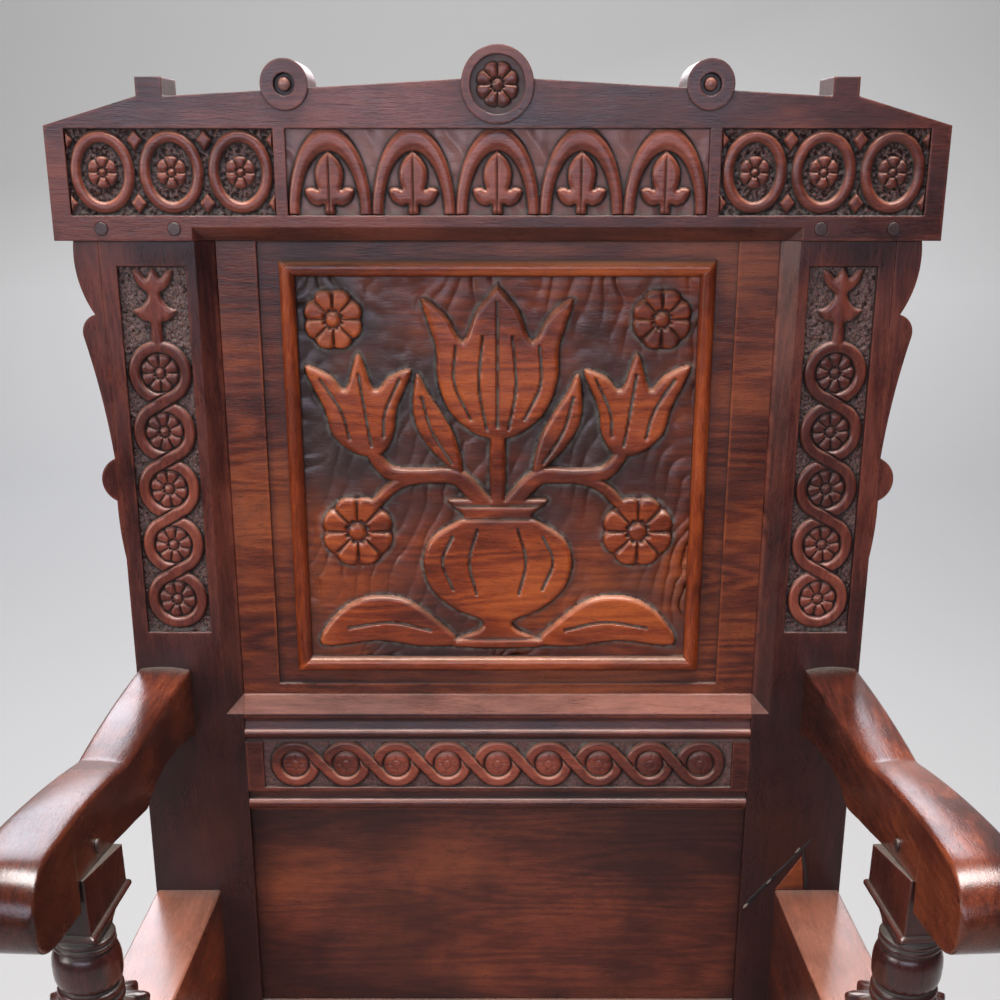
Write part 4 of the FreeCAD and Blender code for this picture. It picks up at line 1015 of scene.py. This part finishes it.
# The top tones below are colours of a painted sheen on faces that look up.
finishes = {
    "upright": wood("z", *FRAME_TONES, seed=1.3, top=SHEEN_TONE, painted_arm_shadow=True),
    "level": wood("x", *FRAME_TONES, seed=2.1, top=SHEEN_TONE),
    "deep": wood("y", *MARGIN_TONES, seed=3.7, rough=0.27, coat=0.9, cloud=0.45, top=(0.32, 0.135, 0.090)),
    "panel": wood("x", *MARGIN_TONES, seed=4.2, figure=2.2, top=SHEEN_TONE, cloud=0.40),
    "moulding": wood("z", *RELIEF_TONES, seed=7.1, figure=1.2, rough=0.24),
    "moulding_level": wood("x", *RELIEF_TONES, seed=7.9, rough=0.24, top=(0.42, 0.19, 0.10)),
    "lower": wood("x", *LOWER_TONES, seed=8.4, figure=1.5, rough=0.36, cloud=0.65),
    "peg": wood("y", *PEG_TONES, seed=5.0, shade_and_dirt_reach=0.006),
    "strip": wood("z", *BAND_TONES, seed=1.9, carved=(0.09, 0.05, 0.045), top=SHEEN_TONE),
    "crest": wood("x", *BAND_TONES, seed=2.9, carved=(0.27, 0.130, 0.108), top=(0.40, 0.16, 0.10)),
    "band": wood("x", *BAND_TONES_PAINTED_LIGHTER, seed=3.3, carved=(0.36, 0.185, 0.155), top=(0.50, 0.22, 0.14)),
    "picture": wood("x", *RELIEF_TONES, seed=4.6, figure=2.0, carved=(0.060, 0.030, 0.025), top=(0.44, 0.19, 0.11),
                    bare=0.80),
    "arm": wood("y", *ARM_TONES, seed=6.1, rough=0.24, coat=0.15, cloud=0.5, edges=0.15),
    "post": wood("z", *POST_TONES_PAINTED_DARKER, seed=9.3, rough=0.26, coat=0.3),
    "filler": wood("z", *FILLER_TONES, rough=0.5, shade_and_dirt_reach=0.004),
    "chalk": wood("z", *CHALK_TONES, rough=0.6, shade_and_dirt_reach=0.004),
}
for key, made in finishes.items():
    made.name = key + "_finish"
print(len(finishes), "finishes")

# %% [markdown]
# ## Which board has which finish
# A board's grain runs along its length: stiles and posts upright, rails across, arms and side rails
# to the front. Each new carving gets a finish of its own, whose grain runs the way its board's does.

# %% Give out the finishes
def finish_for(node):
    """The finish of one ready-made piece, by its name."""
    if node.endswith("_pegs"):
        return "peg"
    if node.startswith(("stile", "ear", "front_post")):
        return "upright"
    if node.startswith(("side_rail", "side_stretcher", "cleat", "arm")):
        return "deep"
    if node.startswith("panel_moulding"):
        return "moulding_level" if node.endswith(("top", "bottom")) else "moulding"
    if node.startswith("upper_panel"):
        return "panel"
    return "lower" if node == "lower_panel" else "level"


for node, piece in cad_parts.items():
    mesh_piece = bpy.data.objects[piece] if isinstance(piece, str) else piece
    for material_slot in mesh_piece.material_slots:
        material_slot.material = finishes[finish_for(node)]

for pieces, finish, slot in (
        (stile_carvings, "strip", "oak_frame"), ([rail_carving], "band", "oak_frame"), (arms, "arm", "oak_arm"),
        (crest_carvings + domes, "crest", "oak_frame"), ([panel_carving], "picture", "oak_panel"),
        (posts, "post", "oak_frame"), ([wedge], "panel", "oak_frame"), (fillers, "filler", "oak_peg"),
        (chalks, "chalk", "oak_peg")):
    for piece in pieces:
        piece.data.materials.append(finishes[finish])

# %% [markdown]
# ## The studio
# A floor runs back and curves up into a wall. Its grey is painted paler further back and higher up:
# painted light that sets how bright floor and wall look. A large cool lamp hangs behind and above the
# chair, so surfaces that face up show its sheen. One lamp lights the wall. The lamps in front are weak,
# so upright faces stay dark.

# %% Floor, backdrop and lights
NEAR_GREY, FAR_GREY = (0.264, 0.264, 0.264), (0.478, 0.478, 0.472)
AIR, AIR_STRENGTH = (0.74, 0.78, 0.95, 1), 0.09


def sweep_sheet():
    """Floor and wall in one: a straight line, a quarter circle and a straight line, drawn along X."""
    bend = np.linspace(0, pi / 2, 24)
    y = np.concatenate([[-4.0, 0.0, 2.0], 3.4 + 1.2 * np.sin(bend), [4.6, 4.6]])
    z = np.concatenate([[0, 0, 0], 1.2 - 1.2 * np.cos(bend), [2.5, 5.0]])
    sheet = joined([[-6.0, 6.0]], y[:, None], z[:, None])
    return new_piece("studio_floor", sheet.reshape(-1, 3), grid_faces(len(y), 2).tolist())


def studio_grey():
    """Paper whose grey grows paler with the distance behind the chair and with the height, painted light that sets
    how bright the floor and wall look.
    """
    made, sockets, start = new_material("studio_grey")
    far = (start.along(1).between(2.0, 4.7) + start.along(2).between(0.0, 1.4) * 0.5).clamped()
    colour = (far * far).blend(NEAR_GREY, FAR_GREY)
    colour.drive(sockets["Base Color"])
    sockets["Roughness"].default_value = 0.9
    return made


def lamp(name, place, aim, wide, tall, power, colour=(1, 1, 1)):
    """An oblong soft lamp turned towards a point."""
    data = bpy.data.lights.new(name, "AREA")
    data.shape = "RECTANGLE"
    data.size = wide
    data.size_y = tall
    data.energy = power
    data.color = colour
    made = bpy.data.objects.new(name, data)
    made.location = place
    made.rotation_euler = (Vector(aim) - Vector(place)).to_track_quat("-Z", "Y").to_euler()
    bpy.context.collection.objects.link(made)


sheet = sweep_sheet()
sheet.data.materials.append(studio_grey())
lamp("back_lamp", (-0.45, 3.9, 2.6), (0, 0.0, 1.0), 3.6, 2.3, 130, (0.88, 0.90, 1.0))
lamp("wall_lamp", (-0.05, 1.4, 3.3), (-0.05, 4.6, 0.95), 2.4, 1.2, 74)
lamp("top_lamp", (0.05, 0.35, 3.2), (0.05, 0.15, 0.8), 2.4, 1.3, 220, (1.0, 0.97, 0.95))
lamp("front_lamp", (-0.45, -2.7, 1.85), (0, 0.1, 0.9), 2.5, 0.9, 33, (0.82, 0.82, 1.0))
lamp("left_lamp", (-2.4, -1.2, 1.7), (0, 0.1, 0.8), 1.0, 1.0, 30, (1.0, 0.96, 0.92))
world = bpy.data.worlds.new("studio_air")
world.use_nodes = True
background = world.node_tree.nodes["Background"].inputs
background["Color"].default_value = AIR
background["Strength"].default_value = AIR_STRENGTH
bpy.context.scene.world = world
bpy.context.scene.view_settings.view_transform = "Standard"
print("studio ready")
